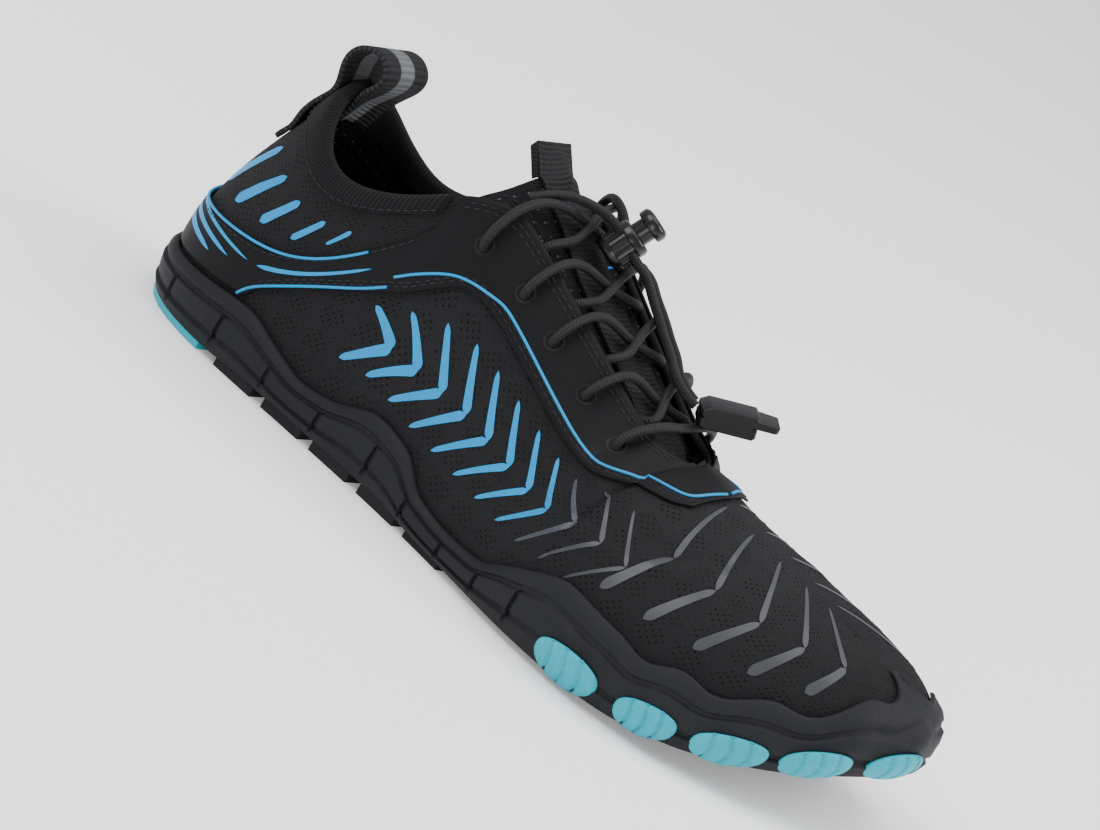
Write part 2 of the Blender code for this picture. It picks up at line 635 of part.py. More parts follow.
def smooth_route(points, count):
    """Evenly spaced points on the smooth curve through a route's points."""
    points = np.asarray(points, float)
    run = np.concatenate([[0], np.cumsum(np.linalg.norm(np.diff(points, axis=0), axis=1))])
    at = np.linspace(0, run[-1], count)
    return np.stack([natural_spline(run, points[:, k], at) for k in range(3)], -1)


def cut(piece, cutter, operation="DIFFERENCE"):
    """Boolean with the exact solver; a cutter is a guide and no piece of the shoe."""
    cutter.hide_render = True
    cutter.display_type = "WIRE"
    step = piece.modifiers.new(operation.title(), "BOOLEAN")
    step.operation = operation
    step.solver = "EXACT"
    step.object = cutter


def build_upper(eyelet_cutter):
    """One hollow wall, open at the collar, down the throat and underneath."""
    heights = np.array([0, 0.10, 0.22, 0.37, 0.53, 0.69, 0.84, 1.0])
    grid = last_surface(signed_places()[:, None], heights[None, :])
    upper = sheet_object("upper", grid, UPPER_WALL, KNIT, 0.9, closed_rows=True, along_normal=False)
    cut(upper, eyelet_cutter)


def overlay_edges(place):
    """Low and high edge of the bonded overlay, as height shares; it stops above the rubber."""
    at = np.abs(place)
    low = steady_curve(OVERLAY[:, 0], OVERLAY[:, 1], at)
    high = steady_curve(OVERLAY[:, 0], OVERLAY[:, 2], at)
    rubber = height_at(place, sidewall_top(place) + SIDEWALL_LIP)
    return np.maximum(low, rubber), high


def build_overlay(eyelet_cutter):
    """Eyestay, quarter band and heel counter in one bonded piece, joined in front of the throat."""
    half = PLACES[PLACES >= OVERLAY[0, 0] - 1e-9]
    places = np.concatenate([-half, half[-2::-1]])
    low, high = overlay_edges(places)
    steps = np.linspace(0, 1, 5)
    heights = low[:, None] + (high - low)[:, None] * steps[None, :]
    grid = skin(places[:, None], heights, OVERLAY_GAP)
    faces = [face[::-1] for face in grid_faces(len(places), len(steps))]
    mesh = mesh_from("quarter_overlay", grid.reshape(-1, 3), faces, solid=False, merge=5e-6)
    overlay = new_object("quarter_overlay", mesh, BONDED_FILM, 0.55)
    thicken(overlay, OVERLAY_THICKNESS, along_normal=True)
    cut(overlay, eyelet_cutter)


def eyelet_holes():
    """Cutter with a peg through the upper and the overlay at each eyelet."""
    work = bmesh.new()
    for side in (-1, 1):
        for place, height in EYELETS:
            way = Vector(last_normal(side * place, height))
            turn = way.to_track_quat("Z", "Y").to_matrix().to_4x4()
            bmesh.ops.create_cone(work, cap_ends=True, segments=8, radius1=EYELET_DIAMETER / 2,
                                  radius2=EYELET_DIAMETER / 2, depth=4 * UPPER_WALL,
                                  matrix=Matrix.Translation(Vector(last_surface(side * place, height))) @ turn)
    return new_object("eyelet_holes", finish_mesh("eyelet_holes", work, 1e-7), KNIT, 0.9, CUTTERS)


def build_cuff():
    """Soft binding that folds over the collar's edge, with one leaf outside and one inside."""
    half = np.concatenate([[CUFF_LOW[0, 0]], PLACES[PLACES > CUFF_LOW[0, 0] + 0.005]])
    inside = -(UPPER_WALL + SEAM_GAP)
    lining = inside - CUFF_THICKNESS
    face = SEAM_GAP + CUFF_THICKNESS
    rings = []
    for place in np.concatenate([-half, half[-2::-1]]):
        low = float(steady_curve(CUFF_LOW[:, 0], CUFF_LOW[:, 1], abs(place)))
        middle = (1 + low) / 2
        up = unit(last_surface(place, 1.0) - last_surface(place, 0.97))
        rim = [
            # offset, rise above the collar's edge
            (SEAM_GAP, SEAM_GAP), (inside, SEAM_GAP), (lining * 0.97, 0.5 * CUFF_THICKNESS),
            (-UPPER_WALL / 2, face), (face * 0.9, 0.5 * CUFF_THICKNESS),
        ]
        tops = [skin(place, 1, offset) + up * rise for offset, rise in rim]
        rings.append([
            skin(place, low, SEAM_GAP), skin(place, middle, SEAM_GAP), tops[0], tops[1],
            skin(place, middle, inside), skin(place, low, inside), skin(place, low, lining),
            skin(place, middle, lining), tops[2], tops[3], tops[4],
            skin(place, middle, face), skin(place, low, face),
        ])
    ring_object("collar_cuff", rings, CUFF_CLOTH, 0.85)


def build_insole():
    """Footbed that lies on the sole inside the upper."""
    inset = -(UPPER_WALL + 2 * SEAM_GAP)
    lower = []
    for place in signed_places():
        bed = SOLE_THICKNESS + float(toe_lift(foot_line(place)[0])) + SEAM_GAP
        lower.append(beside_foot(place, inset, bed))
    lower = np.array(lower)
    slab_object("insole", lower, lower + np.array([0, 0, INSOLE_THICKNESS]), KNIT, 0.9)


@lru_cache(maxsize=None)
def tongue_row(step):
    """Points across the tongue's outside at a share of its length, from the outer side to the inner side."""
    knots = np.linspace(0, 1, len(TONGUE))
    place, tuck, arch, ahead, roundness, clear = (float(steady_curve(knots, column, step)) for column in TONGUE.T)
    offset = -(UPPER_WALL + TONGUE_CLEARANCE * clear)
    outer, inner = ([skin(side * place, tuck - drop, offset) for drop in TONGUE_TUCK] for side in (-1, 1))
    left, right = outer[-1], inner[-1]
    lift = np.array([LENGTH * ahead, 0, INSTEP_RISE * arch])
    middle = [left + (right - left) * (t + 1) / 2 + lift * (1 - abs(t) ** roundness)
              for t in (-0.68, -0.36, 0.0, 0.36, 0.68)]
    return np.array(outer + middle + inner[::-1])


def build_tongue():
    """Padded tongue that tucks under both sides of the upper and stands above the throat."""
    grid = np.array([tongue_row(step) for step in np.linspace(0, 1, TONGUE_STEPS)])
    sheet_object("tongue", grid, TONGUE_THICKNESS, KNIT, 0.9)


def tongue_point(step, y):
    """Point on the tongue's outside at a share of its length and a distance from the centre line."""
    row = tongue_row(step)
    return np.array([np.interp(y, row[:, 1], row[:, 0]), y, np.interp(y, row[:, 1], row[:, 2])])


def tongue_out(step):
    """Unit vector out of the tongue on its centre line."""
    run = unit(tongue_point(min(step + 0.01, 1), 0) - tongue_point(max(step - 0.01, 0), 0))
    return np.array([run[2], 0, -run[0]])


def tongue_step_at(x):
    """Share of the tongue's length where its centre line passes x."""
    steps = np.linspace(0, 1, 80)
    found = [tongue_point(step, 0)[0] for step in steps]
    return float(np.interp(-x, -np.array(found), steps))


def build_webbing():
    """Woven strap up the middle of the tongue, doubled over into a pull tab at the top."""
    steps = np.linspace(0, 1, TONGUE_STEPS)
    steps = steps[steps >= WEBBING_START]
    out = tongue_out(1)
    run = np.array([-out[2], 0, out[0]])
    rings = []
    for share in (-0.5, -0.25, 0.0, 0.25, 0.5):
        y = share * WEBBING_WIDTH
        under = [tongue_point(step, y) + tongue_out(step) * 2 * SEAM_GAP for step in steps]
        over = [tongue_point(step, y) + tongue_out(step) * (2 * SEAM_GAP + WEBBING_THICKNESS) for step in steps]
        top = tongue_point(1, y)
        foot = top + run * 2 * SEAM_GAP
        tip = tongue_point(1, 0) * np.array([1, 0, 1]) + np.array([0, y, 0]) + run * PULL_TAB_LENGTH
        under += [foot + out * SEAM_GAP, foot - out * WEBBING_THICKNESS]
        over += [tip + out * (SEAM_GAP + WEBBING_THICKNESS), tip + run * WEBBING_THICKNESS,
                 tip - out * WEBBING_THICKNESS]
        rings.append(under + over[::-1])
    ring_object("tongue_webbing", rings, WEBBING_BLACK, 0.8)


def build_heel_loop():
    """Pull loop behind the collar: up the back, forward over the edge and down inside."""
    cover = SEAM_GAP * 2 + CUFF_THICKNESS
    spreads = np.array([-1.0, -0.5, 0.0, 0.5, 1.0]) * LOOP_SPREAD

    def strap_row(height, offset):
        return [skin(1 - spread if spread >= 0 else -(1 + spread), height, offset) for spread in spreads]

    grid = [strap_row(height, cover if covered else SEAM_GAP * 1.6) for height, covered in LOOP_BACK]
    edge = skin(1.0, 1.0, 0.0)
    across = [point[1] for point in grid[-1]]
    for ahead, above in LOOP_OVER:
        grid.append([edge + np.array([ahead * LOOP_RISE, y, above * LOOP_RISE]) for y in across])
    grid += [strap_row(height, -(UPPER_WALL + cover)) for height in LOOP_INSIDE]
    sheet_object("heel_pull_loop", np.array(grid), HEEL_LOOP_THICKNESS, WEBBING_BLACK, 0.8)


def over_tongue(x, y, cover):
    """Middle of a lace that lies over the tongue, with a cover between them."""
    step = tongue_step_at(x)
    return tongue_point(step, y) + tongue_out(step) * (cover + LACE_SLACK + LACE_DIAMETER / 2)


def build_lace():
    """Lace over the tongue: a straight bar at the toe end, four crossings above it and the free strands."""
    ride = OVERLAY_GAP + OVERLAY_THICKNESS + SEAM_GAP + LACE_DIAMETER / 2

    def over(side, place, height, lift=0.0):
        return skin(side * place, height, ride + lift)

    place, height = EYELETS[-1]
    edges = [over(side, place, 1.0, LACE_SLACK) for side in (-1, 1)]
    route = smooth_route([over(-1, place, height), edges[0], (edges[0] + edges[1]) / 2, edges[1],
                          over(1, place, height)], 9)
    new_object("lace_bar", cord_mesh("lace_bar", route, LACE_DIAMETER), CORD_BLACK, 0.6)
    for number in range(len(EYELETS) - 1):
        place, height = EYELETS[number]
        dive = place + LACE_DIVE * (EYELETS[number + 1][0] - place)
        tubes = []
        for side in (-1, 1):
            near_edge = over(side, 0.93 * place + 0.07 * dive, 1.0, LACE_SLACK)
            far = skin(-side * dive, 1.0, 0.0)
            end = over_tongue(far[0], far[1] + side * LACE_DIAMETER, 0.0)
            cover = 2 * SEAM_GAP + WEBBING_THICKNESS
            middle = over_tongue((near_edge[0] + far[0]) / 2, 0.0, cover)
            beside = -side * (WEBBING_WIDTH / 2 + LACE_DIAMETER / 2)
            shoulder = over_tongue(middle[0] + (end[0] - middle[0]) * beside / end[1], beside, cover)
            route = smooth_route([over(side, place, height), near_edge, middle, shoulder, end], 10)
            tubes.append(cord_mesh(f"lace_cross_{number + 1}", route, LACE_DIAMETER))
        crossing = new_object(f"lace_cross_{number + 1}", tubes[0], CORD_BLACK, 0.6)
        cut(crossing, new_object(f"lace_other_{number + 1}", tubes[1], CORD_BLACK, 0.6, CUTTERS), "UNION")
    for name, points in {**TOP_STRANDS, **TAIL_STRANDS}.items():
        length = float(np.linalg.norm(np.diff(points, axis=0), axis=1).sum())
        route = smooth_route(points, max(6, round(length / (2.2 * LACE_DIAMETER)) + 1))
        new_object(name, cord_mesh(name, route, LACE_DIAMETER), CORD_BLACK, 0.6)


def turned_mesh(name, profile, segments=20):
    """Solid of revolution round Z through a list of radius and height that starts and ends on the axis."""
    vertices = []
    for k in range(segments):
        turn = 2 * math.pi * k / segments
        vertices += [(radius * math.cos(turn), radius * math.sin(turn), z) for radius, z in profile]
    return mesh_from(name, vertices, grid_faces(segments, len(profile), closed_rows=True), merge=1e-6)


def build_lock():
    """Cord lock on the tongue: a barrel with a bore, and the button that is pressed into it."""
    step = tongue_step_at(at_share(LOCK_ALONG))
    centre = tongue_point(step, 0) + tongue_out(step) * LOCK_REST + np.array([0, LOCK_SIDE, 0])
    placing = Matrix.Translation(Vector(centre)) @ Vector(LOCK_AXIS).to_track_quat("Z", "Y").to_matrix().to_4x4()
    half, radius = LOCK_LENGTH / 2, LOCK_DIAMETER / 2
    bore = PLUNGER_DIAMETER / 2 + SEAM_GAP
    floor = 0.2 * LOCK_LENGTH - half
    rim = 0.08 * LOCK_DIAMETER
    barrel = turned_mesh("cord_lock_barrel", [
        (0, -half), (radius - rim, -half), (radius, -half + rim), (radius, half - rim), (radius - rim, half),
        (bore, half), (bore, floor), (0, floor)])
    new_object("cord_lock_barrel", barrel, PLASTIC_BLACK, 0.3).matrix_world = placing
    stem, head = PLUNGER_DIAMETER / 2, PLUNGER_HEAD / 2
    low, under = floor + PLUNGER_TRAVEL + SEAM_GAP, half + PLUNGER_TRAVEL + SEAM_GAP
    edge = 0.12 * head
    button = turned_mesh("cord_lock_plunger", [
        (0, low), (stem, low), (stem, under), (head - edge, under), (head, under + edge), (head, under + 4 * edge),
        (head - 2 * edge, under + 6 * edge), (0, under + 6.6 * edge)])
    new_object("cord_lock_plunger", button, PLASTIC_BLACK, 0.3).matrix_world = placing


def build_clip():
    """End clip that holds both tails of the lace, with a tab on its lid."""
    bar_edge = skin(EYELETS[-1][0], 0.99, OVERLAY_GAP + OVERLAY_THICKNESS + SEAM_GAP + LACE_DIAMETER)
    centre = np.array([bar_edge[0] + CLIP_AHEAD, CLIP_SIDE, bar_edge[2] + CLIP_HEIGHT / 2 + CLIP_LIFT])
    along = unit(CLIP_AXIS)
    across = unit(np.cross((0, 0, 1), along))
    turn = Matrix((along, across, np.cross(along, across))).transposed().to_4x4()
    side = [
        # along and up, as shares of the clip's length and height
        (-0.50, -0.42), (-0.42, -0.50), (0.46, -0.50), (0.50, -0.40), (0.50, 0.02), (0.86, 0.02), (0.88, 0.30),
        (0.52, 0.34), (0.46, 0.50), (-0.40, 0.50), (-0.50, 0.30),
    ]
    rings = []
    for y, narrow in ((-0.5, 0.93), (-0.42, 1.0), (0.42, 1.0), (0.5, 0.93)):
        rings.append([(x * CLIP_LENGTH * narrow, y * CLIP_WIDTH, z * CLIP_HEIGHT * narrow) for x, z in side])
    clip = ring_object("cord_end_clip", rings, PLASTIC_BLACK, 0.35)
    clip.matrix_world = Matrix.Translation(Vector(centre)) @ turn


def pod_mesh(name, pods, grow):
    """Flattened round pods bent to the sole's edge, each grown by a distance."""
    work = bmesh.new()
    tilt = math.radians(POD_TILT)
    for place, half_length, centre_height, half_height in pods:
        made = bmesh.ops.create_uvsphere(work, u_segments=14, v_segments=8, radius=1)
        for vertex in made["verts"]:
            along, up, out = vertex.co * Vector((half_length + grow, half_height + grow, POD_DEPTH + grow))
            at = place + along / HALF_OUTLINE
            z = centre_height + up * math.cos(tilt) - out * math.sin(tilt) + float(toe_lift(foot_line(at)[0]))
            vertex.co = beside_foot(at, SIDEWALL_THICKNESS + up * math.sin(tilt) + out * math.cos(tilt), z)
    return finish_mesh(name, work, 1e-6, crease=60)


def pad_loops(along, across, half_length, half_width, grow, low, high):
    """Lower and upper loop of a round pad that follows the toe spring."""
    count = 16
    lower, upper = [], []
    for k in range(count):
        turn = 2 * math.pi * k / count
        x = at_share(along) + (half_length + grow) * math.cos(turn)
        y = BALL_WIDTH * across + (half_width + grow) * math.sin(turn)
        lower.append((x, y, float(toe_lift(x)) + low))
        upper.append((x, y, float(toe_lift(x)) + high))
    return np.array(lower), np.array(upper)


def heel_loops(reach, front, low, high):
    """Lower and upper loop of the heel's pad, with a shallow point at its front."""
    half = np.linspace(1.0, abs(place_at_share(-1, front)), 8)
    outer = [beside_foot(-p, reach) for p in half]
    inner = [beside_foot(p, reach) for p in half[:0:-1]]
    loop = np.array(outer + [np.array([at_share(front) + HEEL_PAD_POINT, 0, 0])] + inner)
    loop[:, 2] = toe_lift(loop[:, 0])
    return loop + np.array([0, 0, low]), loop + np.array([0, 0, high])


def tread_blocks():
    """Lugs along both edges and chevron bars between them."""
    outlines = []
    for side in (-1, 1):
        for first, last in EDGE_LUGS:
            places = [place_at_share(side, share) for share in np.linspace(first, last, 3)]
            outer = [beside_foot(p, LUG_EDGE)[:2] for p in places]
            outlines.append(outer + [beside_foot(p, LUG_EDGE - LUG_REACH)[:2] for p in places[::-1]])
    for share in CHEVRONS:
        x, half = at_share(share), CHEVRON_HALF * BALL_WIDTH
        back = x + CHEVRON_LENGTH
        outlines.append([(x, -half), (x + CHEVRON_POINT, 0), (x, half),
                         (back, half), (back + CHEVRON_POINT, 0), (back, -half)])
    return [(outline, 0.0, 0.7 * SOLE_THICKNESS) for outline in outlines]


def side_slots():
    """Thin upright cuts that part the sidewall into panels."""
    blocks = []
    spread = SLOT_WIDTH / 2 / HALF_OUTLINE
    depth = SIDEWALL_THICKNESS + SEAM_GAP - SLOT_DEPTH
    for side in (-1, 1):
        for share in SIDE_SLOTS:
            place = place_at_share(side, share)
            corners = ((-spread, depth), (-spread, 3 * depth), (spread, 3 * depth), (spread, depth))
            outline = [beside_foot(place + shift, reach)[:2] for shift, reach in corners]
            base, top = float(tread_base(foot_line(place)[0])), float(sidewall_top(place))
            blocks.append((outline, base + 0.15 * (top - base), base + 0.69 * (top - base)))
    return blocks


def build_outsole():
    """Cupped rubber sole with grooved sides, lugs and sockets for the blue pods and pads."""
    profiles = np.array([sole_profile(place) for place in signed_places()])
    count, size = profiles.shape[:2]
    faces = grid_faces(count, size, closed_rows=True)
    faces += ladder_faces([i * size for i in range(count)])
    faces += ladder_faces([i * size + size - 1 for i in range(count)])
    sole = new_object("outsole", mesh_from("outsole", profiles.reshape(-1, 3), faces), BLACK_RUBBER, 0.7)

    def guide(name, mesh):
        return new_object(name, mesh, BLACK_RUBBER, 0.7, CUTTERS)

    cut(sole, guide("tread", prism_mesh("tread", tread_blocks())), "UNION")
    cut(sole, guide("slots", prism_mesh("slots", side_slots())))
    cut(sole, guide("pod_sockets", pod_mesh("pod_sockets", TOE_PODS, SEAM_GAP)))
    for number, pad in enumerate(PADS):
        loops = pad_loops(*pad, SEAM_GAP, -LUG_DEPTH, PAD_THICKNESS + SEAM_GAP)
        cut(sole, slab_object(f"pad_socket_{number + 1}", *loops, BLACK_RUBBER, 0.7, CUTTERS))
    loops = heel_loops(2 * SIDEWALL_THICKNESS, HEEL_PAD_FRONT + SEAM_GAP / LENGTH, -LUG_DEPTH,
                       PAD_THICKNESS + SEAM_GAP)
    cut(sole, slab_object("heel_socket", *loops, BLACK_RUBBER, 0.7, CUTTERS))


def build_pods():
    """Blue rubber pods, pads and heel pad, each in its socket."""
    for number, pod in enumerate(TOE_PODS):
        name = f"toe_pod_{number + 1}"
        new_object(name, pod_mesh(name, [pod], 0.0), BLUE_RUBBER, 0.5)
    for number, pad in enumerate(PADS):
        slab_object(f"tread_pad_{number + 1}", *pad_loops(*pad, 0.0, 0.0, PAD_THICKNESS), BLUE_RUBBER, 0.5)
    slab_object("heel_pad", *heel_loops(HEEL_PAD_EDGE, HEEL_PAD_FRONT, 0.0, PAD_THICKNESS), BLUE_RUBBER, 0.5)


def main():
    for thing in list(bpy.data.objects):
        bpy.data.objects.remove(thing)
    holes = eyelet_holes()
    build_outsole()
    build_pods()
    build_insole()
    build_upper(holes)
    build_overlay(holes)
    build_cuff()
    build_tongue()
    build_webbing()
    build_heel_loop()
    build_lace()
    build_lock()
    build_clip()


main()
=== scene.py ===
"""Barefoot shoe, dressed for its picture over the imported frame.

Laid out as an add-on: one operator for each piece, the stage among them, and a panel that lists them.
All sizes are metres in the frame's own axes: toe to +X, big-toe side to +Y, Z up.
"""

import json
import math
from functools import lru_cache

import bmesh
import bpy
import numpy as np
from bpy.props import FloatProperty, FloatVectorProperty, IntProperty, PointerProperty
from mathutils import Matrix, Vector
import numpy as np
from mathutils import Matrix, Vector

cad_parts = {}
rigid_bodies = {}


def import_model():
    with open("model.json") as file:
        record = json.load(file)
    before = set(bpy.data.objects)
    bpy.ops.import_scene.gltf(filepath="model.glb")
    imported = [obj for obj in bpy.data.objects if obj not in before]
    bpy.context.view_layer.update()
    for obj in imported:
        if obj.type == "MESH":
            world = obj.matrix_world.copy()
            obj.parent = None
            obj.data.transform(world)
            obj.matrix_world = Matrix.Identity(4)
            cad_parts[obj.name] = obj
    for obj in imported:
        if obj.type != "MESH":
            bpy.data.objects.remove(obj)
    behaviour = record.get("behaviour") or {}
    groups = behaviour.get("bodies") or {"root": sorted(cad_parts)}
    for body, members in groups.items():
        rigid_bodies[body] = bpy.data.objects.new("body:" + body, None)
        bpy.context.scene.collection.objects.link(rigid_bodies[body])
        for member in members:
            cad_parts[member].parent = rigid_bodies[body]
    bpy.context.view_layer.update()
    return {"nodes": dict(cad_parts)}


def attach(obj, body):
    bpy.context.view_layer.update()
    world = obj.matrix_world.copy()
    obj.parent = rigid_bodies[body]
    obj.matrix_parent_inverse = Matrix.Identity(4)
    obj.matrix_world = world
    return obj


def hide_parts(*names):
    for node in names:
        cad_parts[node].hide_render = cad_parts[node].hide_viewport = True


bl_info = {
    "name": "Barefoot Shoe Dresser",
    "version": (1, 0, 0),
    "blender": (4, 5, 0),
    "location": "3D View > Sidebar > Shoe",
    "description": "Makes the knit, film, rubber, lace and stage of a barefoot shoe",
    "category": "Add Mesh",
}

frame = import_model()
SHOE_BODY = "shoe"
BUTTON_BODY = "lock_button"

# Driving sizes, in metres
LENGTH = 0.275
BALL_WIDTH = 0.104
INSTEP_RISE = 0.084
HEEL_BACK = -0.030
TOE_SPRING = 0.022
SPRING_START = 0.68
SPRING_POWER = 3.0
HEEL_ROLL = 0.0016
SOLE_THICKNESS = 0.0065
LUG_DEPTH = 0.0015
SIDEWALL_HEIGHT = 0.022
SIDEWALL_THICKNESS = 0.0036
SIDEWALL_LIP = 0.0018
SIDE_GROOVE = 0.0008
SCALLOP_RISE = 0.0015
SCALLOP_LENGTH = 0.0225
UPPER_WALL = 0.0020
OVERLAY_THICKNESS = 0.0008
CUFF_THICKNESS = 0.0013
TONGUE_THICKNESS = 0.0026
WEBBING_WIDTH = 0.0180
WEBBING_THICKNESS = 0.0013
PULL_TAB_LENGTH = 0.0090
HEEL_LOOP_THICKNESS = 0.0015
LOOP_RISE = 0.0112
LACE_DIAMETER = 0.0028
LACE_SLACK = 0.0009
EYELET_DIAMETER = 0.0042
POD_DEPTH = 0.0020
POD_TILT = 22.0
LUG_REACH = 0.0085
LUG_EDGE = 0.0020
SLOT_WIDTH = 0.0012
SLOT_DEPTH = 0.0011
LOCK_DIAMETER = 0.0115
LOCK_LENGTH = 0.0110
PLUNGER_DIAMETER = 0.0070
PLUNGER_HEAD = 0.0100
PLUNGER_TRAVEL = 0.0030
CLIP_LENGTH = 0.0170
CLIP_WIDTH = 0.0105
CLIP_HEIGHT = 0.0072
SEAM_GAP = 0.00035
OVERLAY_GAP = 0.00045
RAND_GAP = 0.0006
TONGUE_CLEARANCE = 0.0011

# Sections of the last, from the toe tip round one side to the back of the heel.
# Along the shoe: shares of LENGTH from the heel. Across: shares of BALL_WIDTH. Rise: shares of INSTEP_RISE.
# foot_* is where a section leaves the sole, top_* where it ends. Leans are in degrees from upright,
# and a pull is how far each lean reaches, as a share of the section's span.
LAST = np.array([
    # foot_out, y_out, foot_in, y_in, top_along, ridge_y, top_half, top_rise, low_lean, low_pull,
    # high_lean, high_pull
    (0.987,  0.150, 0.987, 0.150, 0.885, 0.100, 0.000, 0.421,  4, 0.55, 89, 0.50),
    (0.980,  0.040, 0.981, 0.265, 0.877, 0.096, 0.000, 0.434,  4, 0.53, 89, 0.50),
    (0.956, -0.098, 0.961, 0.362, 0.862, 0.090, 0.000, 0.457,  4, 0.51, 89, 0.50),
    (0.913, -0.238, 0.923, 0.425, 0.838, 0.080, 0.000, 0.487,  4, 0.49, 89, 0.50),
    (0.855, -0.355, 0.868, 0.454, 0.803, 0.066, 0.000, 0.520,  5, 0.46, 89, 0.50),
    (0.790, -0.428, 0.798, 0.457, 0.760, 0.050, 0.000, 0.555,  5, 0.43, 88, 0.49),
    (0.712, -0.452, 0.718, 0.432, 0.708, 0.036, 0.000, 0.583,  5, 0.41, 86, 0.47),
    (0.642, -0.436, 0.646, 0.378, 0.655, 0.024, 0.000, 0.618,  5, 0.40, 82, 0.44),
    (0.590, -0.405, 0.594, 0.333, 0.612, 0.016, 0.132, 0.648,  4, 0.39, 62, 0.37),
    (0.530, -0.371, 0.530, 0.294, 0.555, 0.008, 0.155, 0.732,  4, 0.37, 50, 0.33),
    (0.458, -0.343, 0.458, 0.271, 0.482, 0.000, 0.180, 0.848,  3, 0.34, 42, 0.30),
    (0.392, -0.328, 0.392, 0.268, 0.418, 0.000, 0.206, 0.948,  2, 0.33, 33, 0.28),
    (0.350, -0.322, 0.350, 0.276, 0.372, 0.000, 0.238, 1.000,  1, 0.33, 24, 0.27),
    (0.315, -0.318, 0.315, 0.285, 0.332, 0.000, 0.276, 0.960,  0, 0.33, 12, 0.27),
    (0.280, -0.315, 0.280, 0.292, 0.292, 0.000, 0.284, 0.868,  0, 0.33,  8, 0.27),
    (0.235, -0.312, 0.235, 0.300, 0.243, 0.000, 0.276, 0.766,  0, 0.33,  8, 0.28),
    (0.185, -0.306, 0.185, 0.303, 0.195, 0.000, 0.264, 0.708,  2, 0.33,  9, 0.30),
    (0.132, -0.290, 0.132, 0.290, 0.154, 0.000, 0.244, 0.722,  6, 0.33, 11, 0.30),
    (0.078, -0.243, 0.078, 0.243, 0.120, 0.000, 0.190, 0.800, 11, 0.33, 15, 0.30),
    (0.037, -0.148, 0.037, 0.148, 0.099, 0.000, 0.108, 0.885, 16, 0.34, 19, 0.30),
    (0.020,  0.000, 0.020, 0.000, 0.092, 0.000, 0.000, 0.925, 18, 0.35, 21, 0.30),
])
(FOOT_OUT, Y_OUT, FOOT_IN, Y_IN, TOP_ALONG, RIDGE_Y, TOP_HALF,
 TOP_RISE, LOW_LEAN, LOW_PULL, HIGH_LEAN, HIGH_PULL) = range(12)
THROAT_ROW = 7

# Top edge of the rubber sidewall: along as a share of LENGTH, rise as shares of SIDEWALL_HEIGHT
SIDEWALL_TOP = np.array([
    # along, outer side, inner side
    (0.00, 0.70, 0.70), (0.06, 0.74, 0.74), (0.12, 0.82, 0.80), (0.18, 0.90, 0.86), (0.24, 0.72, 0.74),
    (0.28, 0.62, 0.68), (0.32, 0.69, 0.80), (0.385, 0.98, 1.00), (0.43, 0.90, 0.95), (0.48, 0.53, 0.68),
    (0.53, 0.46, 0.54), (0.575, 0.50, 0.56), (0.63, 0.84, 0.80), (0.69, 1.12, 1.00), (0.74, 1.06, 0.98),
    (0.80, 0.96, 0.94), (0.88, 0.95, 0.95), (0.94, 0.94, 1.02), (1.00, 1.16, 1.16),
])
SCALLOP_FROM = 0.74
ARCH_RISE = 0.0012
ARCH_FROM = 0.19
ARCH_TO = 0.47

# Side profile of the rubber: share of its height, share of SIDEWALL_THICKNESS, and 1 where it is grooved
SIDE_STEPS = [
    # height, thickness, grooved
    (0.80, 0.80, 0), (0.755, 0.84, 1), (0.70, 0.86, 1), (0.66, 0.98, 0), (0.36, 1.00, 0),
    (0.31, 0.98, 1), (0.27, 0.96, 1), (0.22, 1.00, 0), (0.07, 0.66, 0),
]

# Bonded overlay edges as height shares
OVERLAY = np.array([
    # place, low edge, high edge
    (0.335, 0.800, 1.00), (0.350, 0.735, 1.00), (0.378, 0.690, 1.00), (0.411, 0.665, 1.00),
    (0.476, 0.660, 1.00),
    (0.546, 0.685, 1.00), (0.605, 0.700, 1.00), (0.639, 0.670, 1.00), (0.659, 0.610, 1.00),
    (0.685, 0.545, 1.00),
    (0.690, 0.540, 1.00), (0.697, 0.535, 0.83), (0.725, 0.510, 0.73), (0.749, 0.480, 0.67),
    (0.767, 0.450, 0.62),
    (0.811, 0.320, 0.53), (0.835, 0.140, 0.48), (0.871, 0.100, 0.43), (0.920, 0.080, 0.36),
    (0.964, 0.080, 0.32),
    (1.000, 0.080, 0.31),
])
CUFF_LOW = np.array([
    # place, low edge
    (0.7005, 0.905), (0.757, 0.895), (0.824, 0.880), (0.870, 0.870), (0.940, 0.840), (1.000, 0.830),
])

# Eyelets from the ankle down: place and height share
EYELETS = np.array([(0.652, 0.82), (0.599, 0.84), (0.549, 0.84), (0.496, 0.84), (0.437, 0.83)])
LACE_DIVE = 0.58

# Tongue rows from under the vamp to its top: where it tucks under the upper, how far its middle stands
# above and ahead of its tucked sides as shares of INSTEP_RISE and LENGTH, how round it is across,
# and how many times TONGUE_CLEARANCE it keeps from the upper
TONGUE = np.array([
    # tuck_place, tuck_height, arch, ahead, roundness, clearance
    (0.345, 0.800, 0.008, 0.000, 2.0, 3.0),
    (0.392, 0.860, -0.006, 0.000, 2.0, 3.0),
    (0.436, 0.975, 0.003, 0.000, 2.0, 2.0),
    (0.484, 0.980, 0.006, 0.000, 2.0, 1.0),
    (0.524, 0.980, 0.006, 0.000, 2.0, 1.0),
    (0.576, 0.980, 0.014, 0.000, 2.0, 1.0),
    (0.622, 0.980, 0.030, 0.004, 1.9, 1.0),
    (0.656, 0.980, 0.060, 0.008, 1.7, 1.0),
    (0.694, 0.960, 0.215, 0.027, 1.5, 1.0),
])
TONGUE_TUCK = (0.14, 0.07, 0.0)
WEBBING_START = 0.13

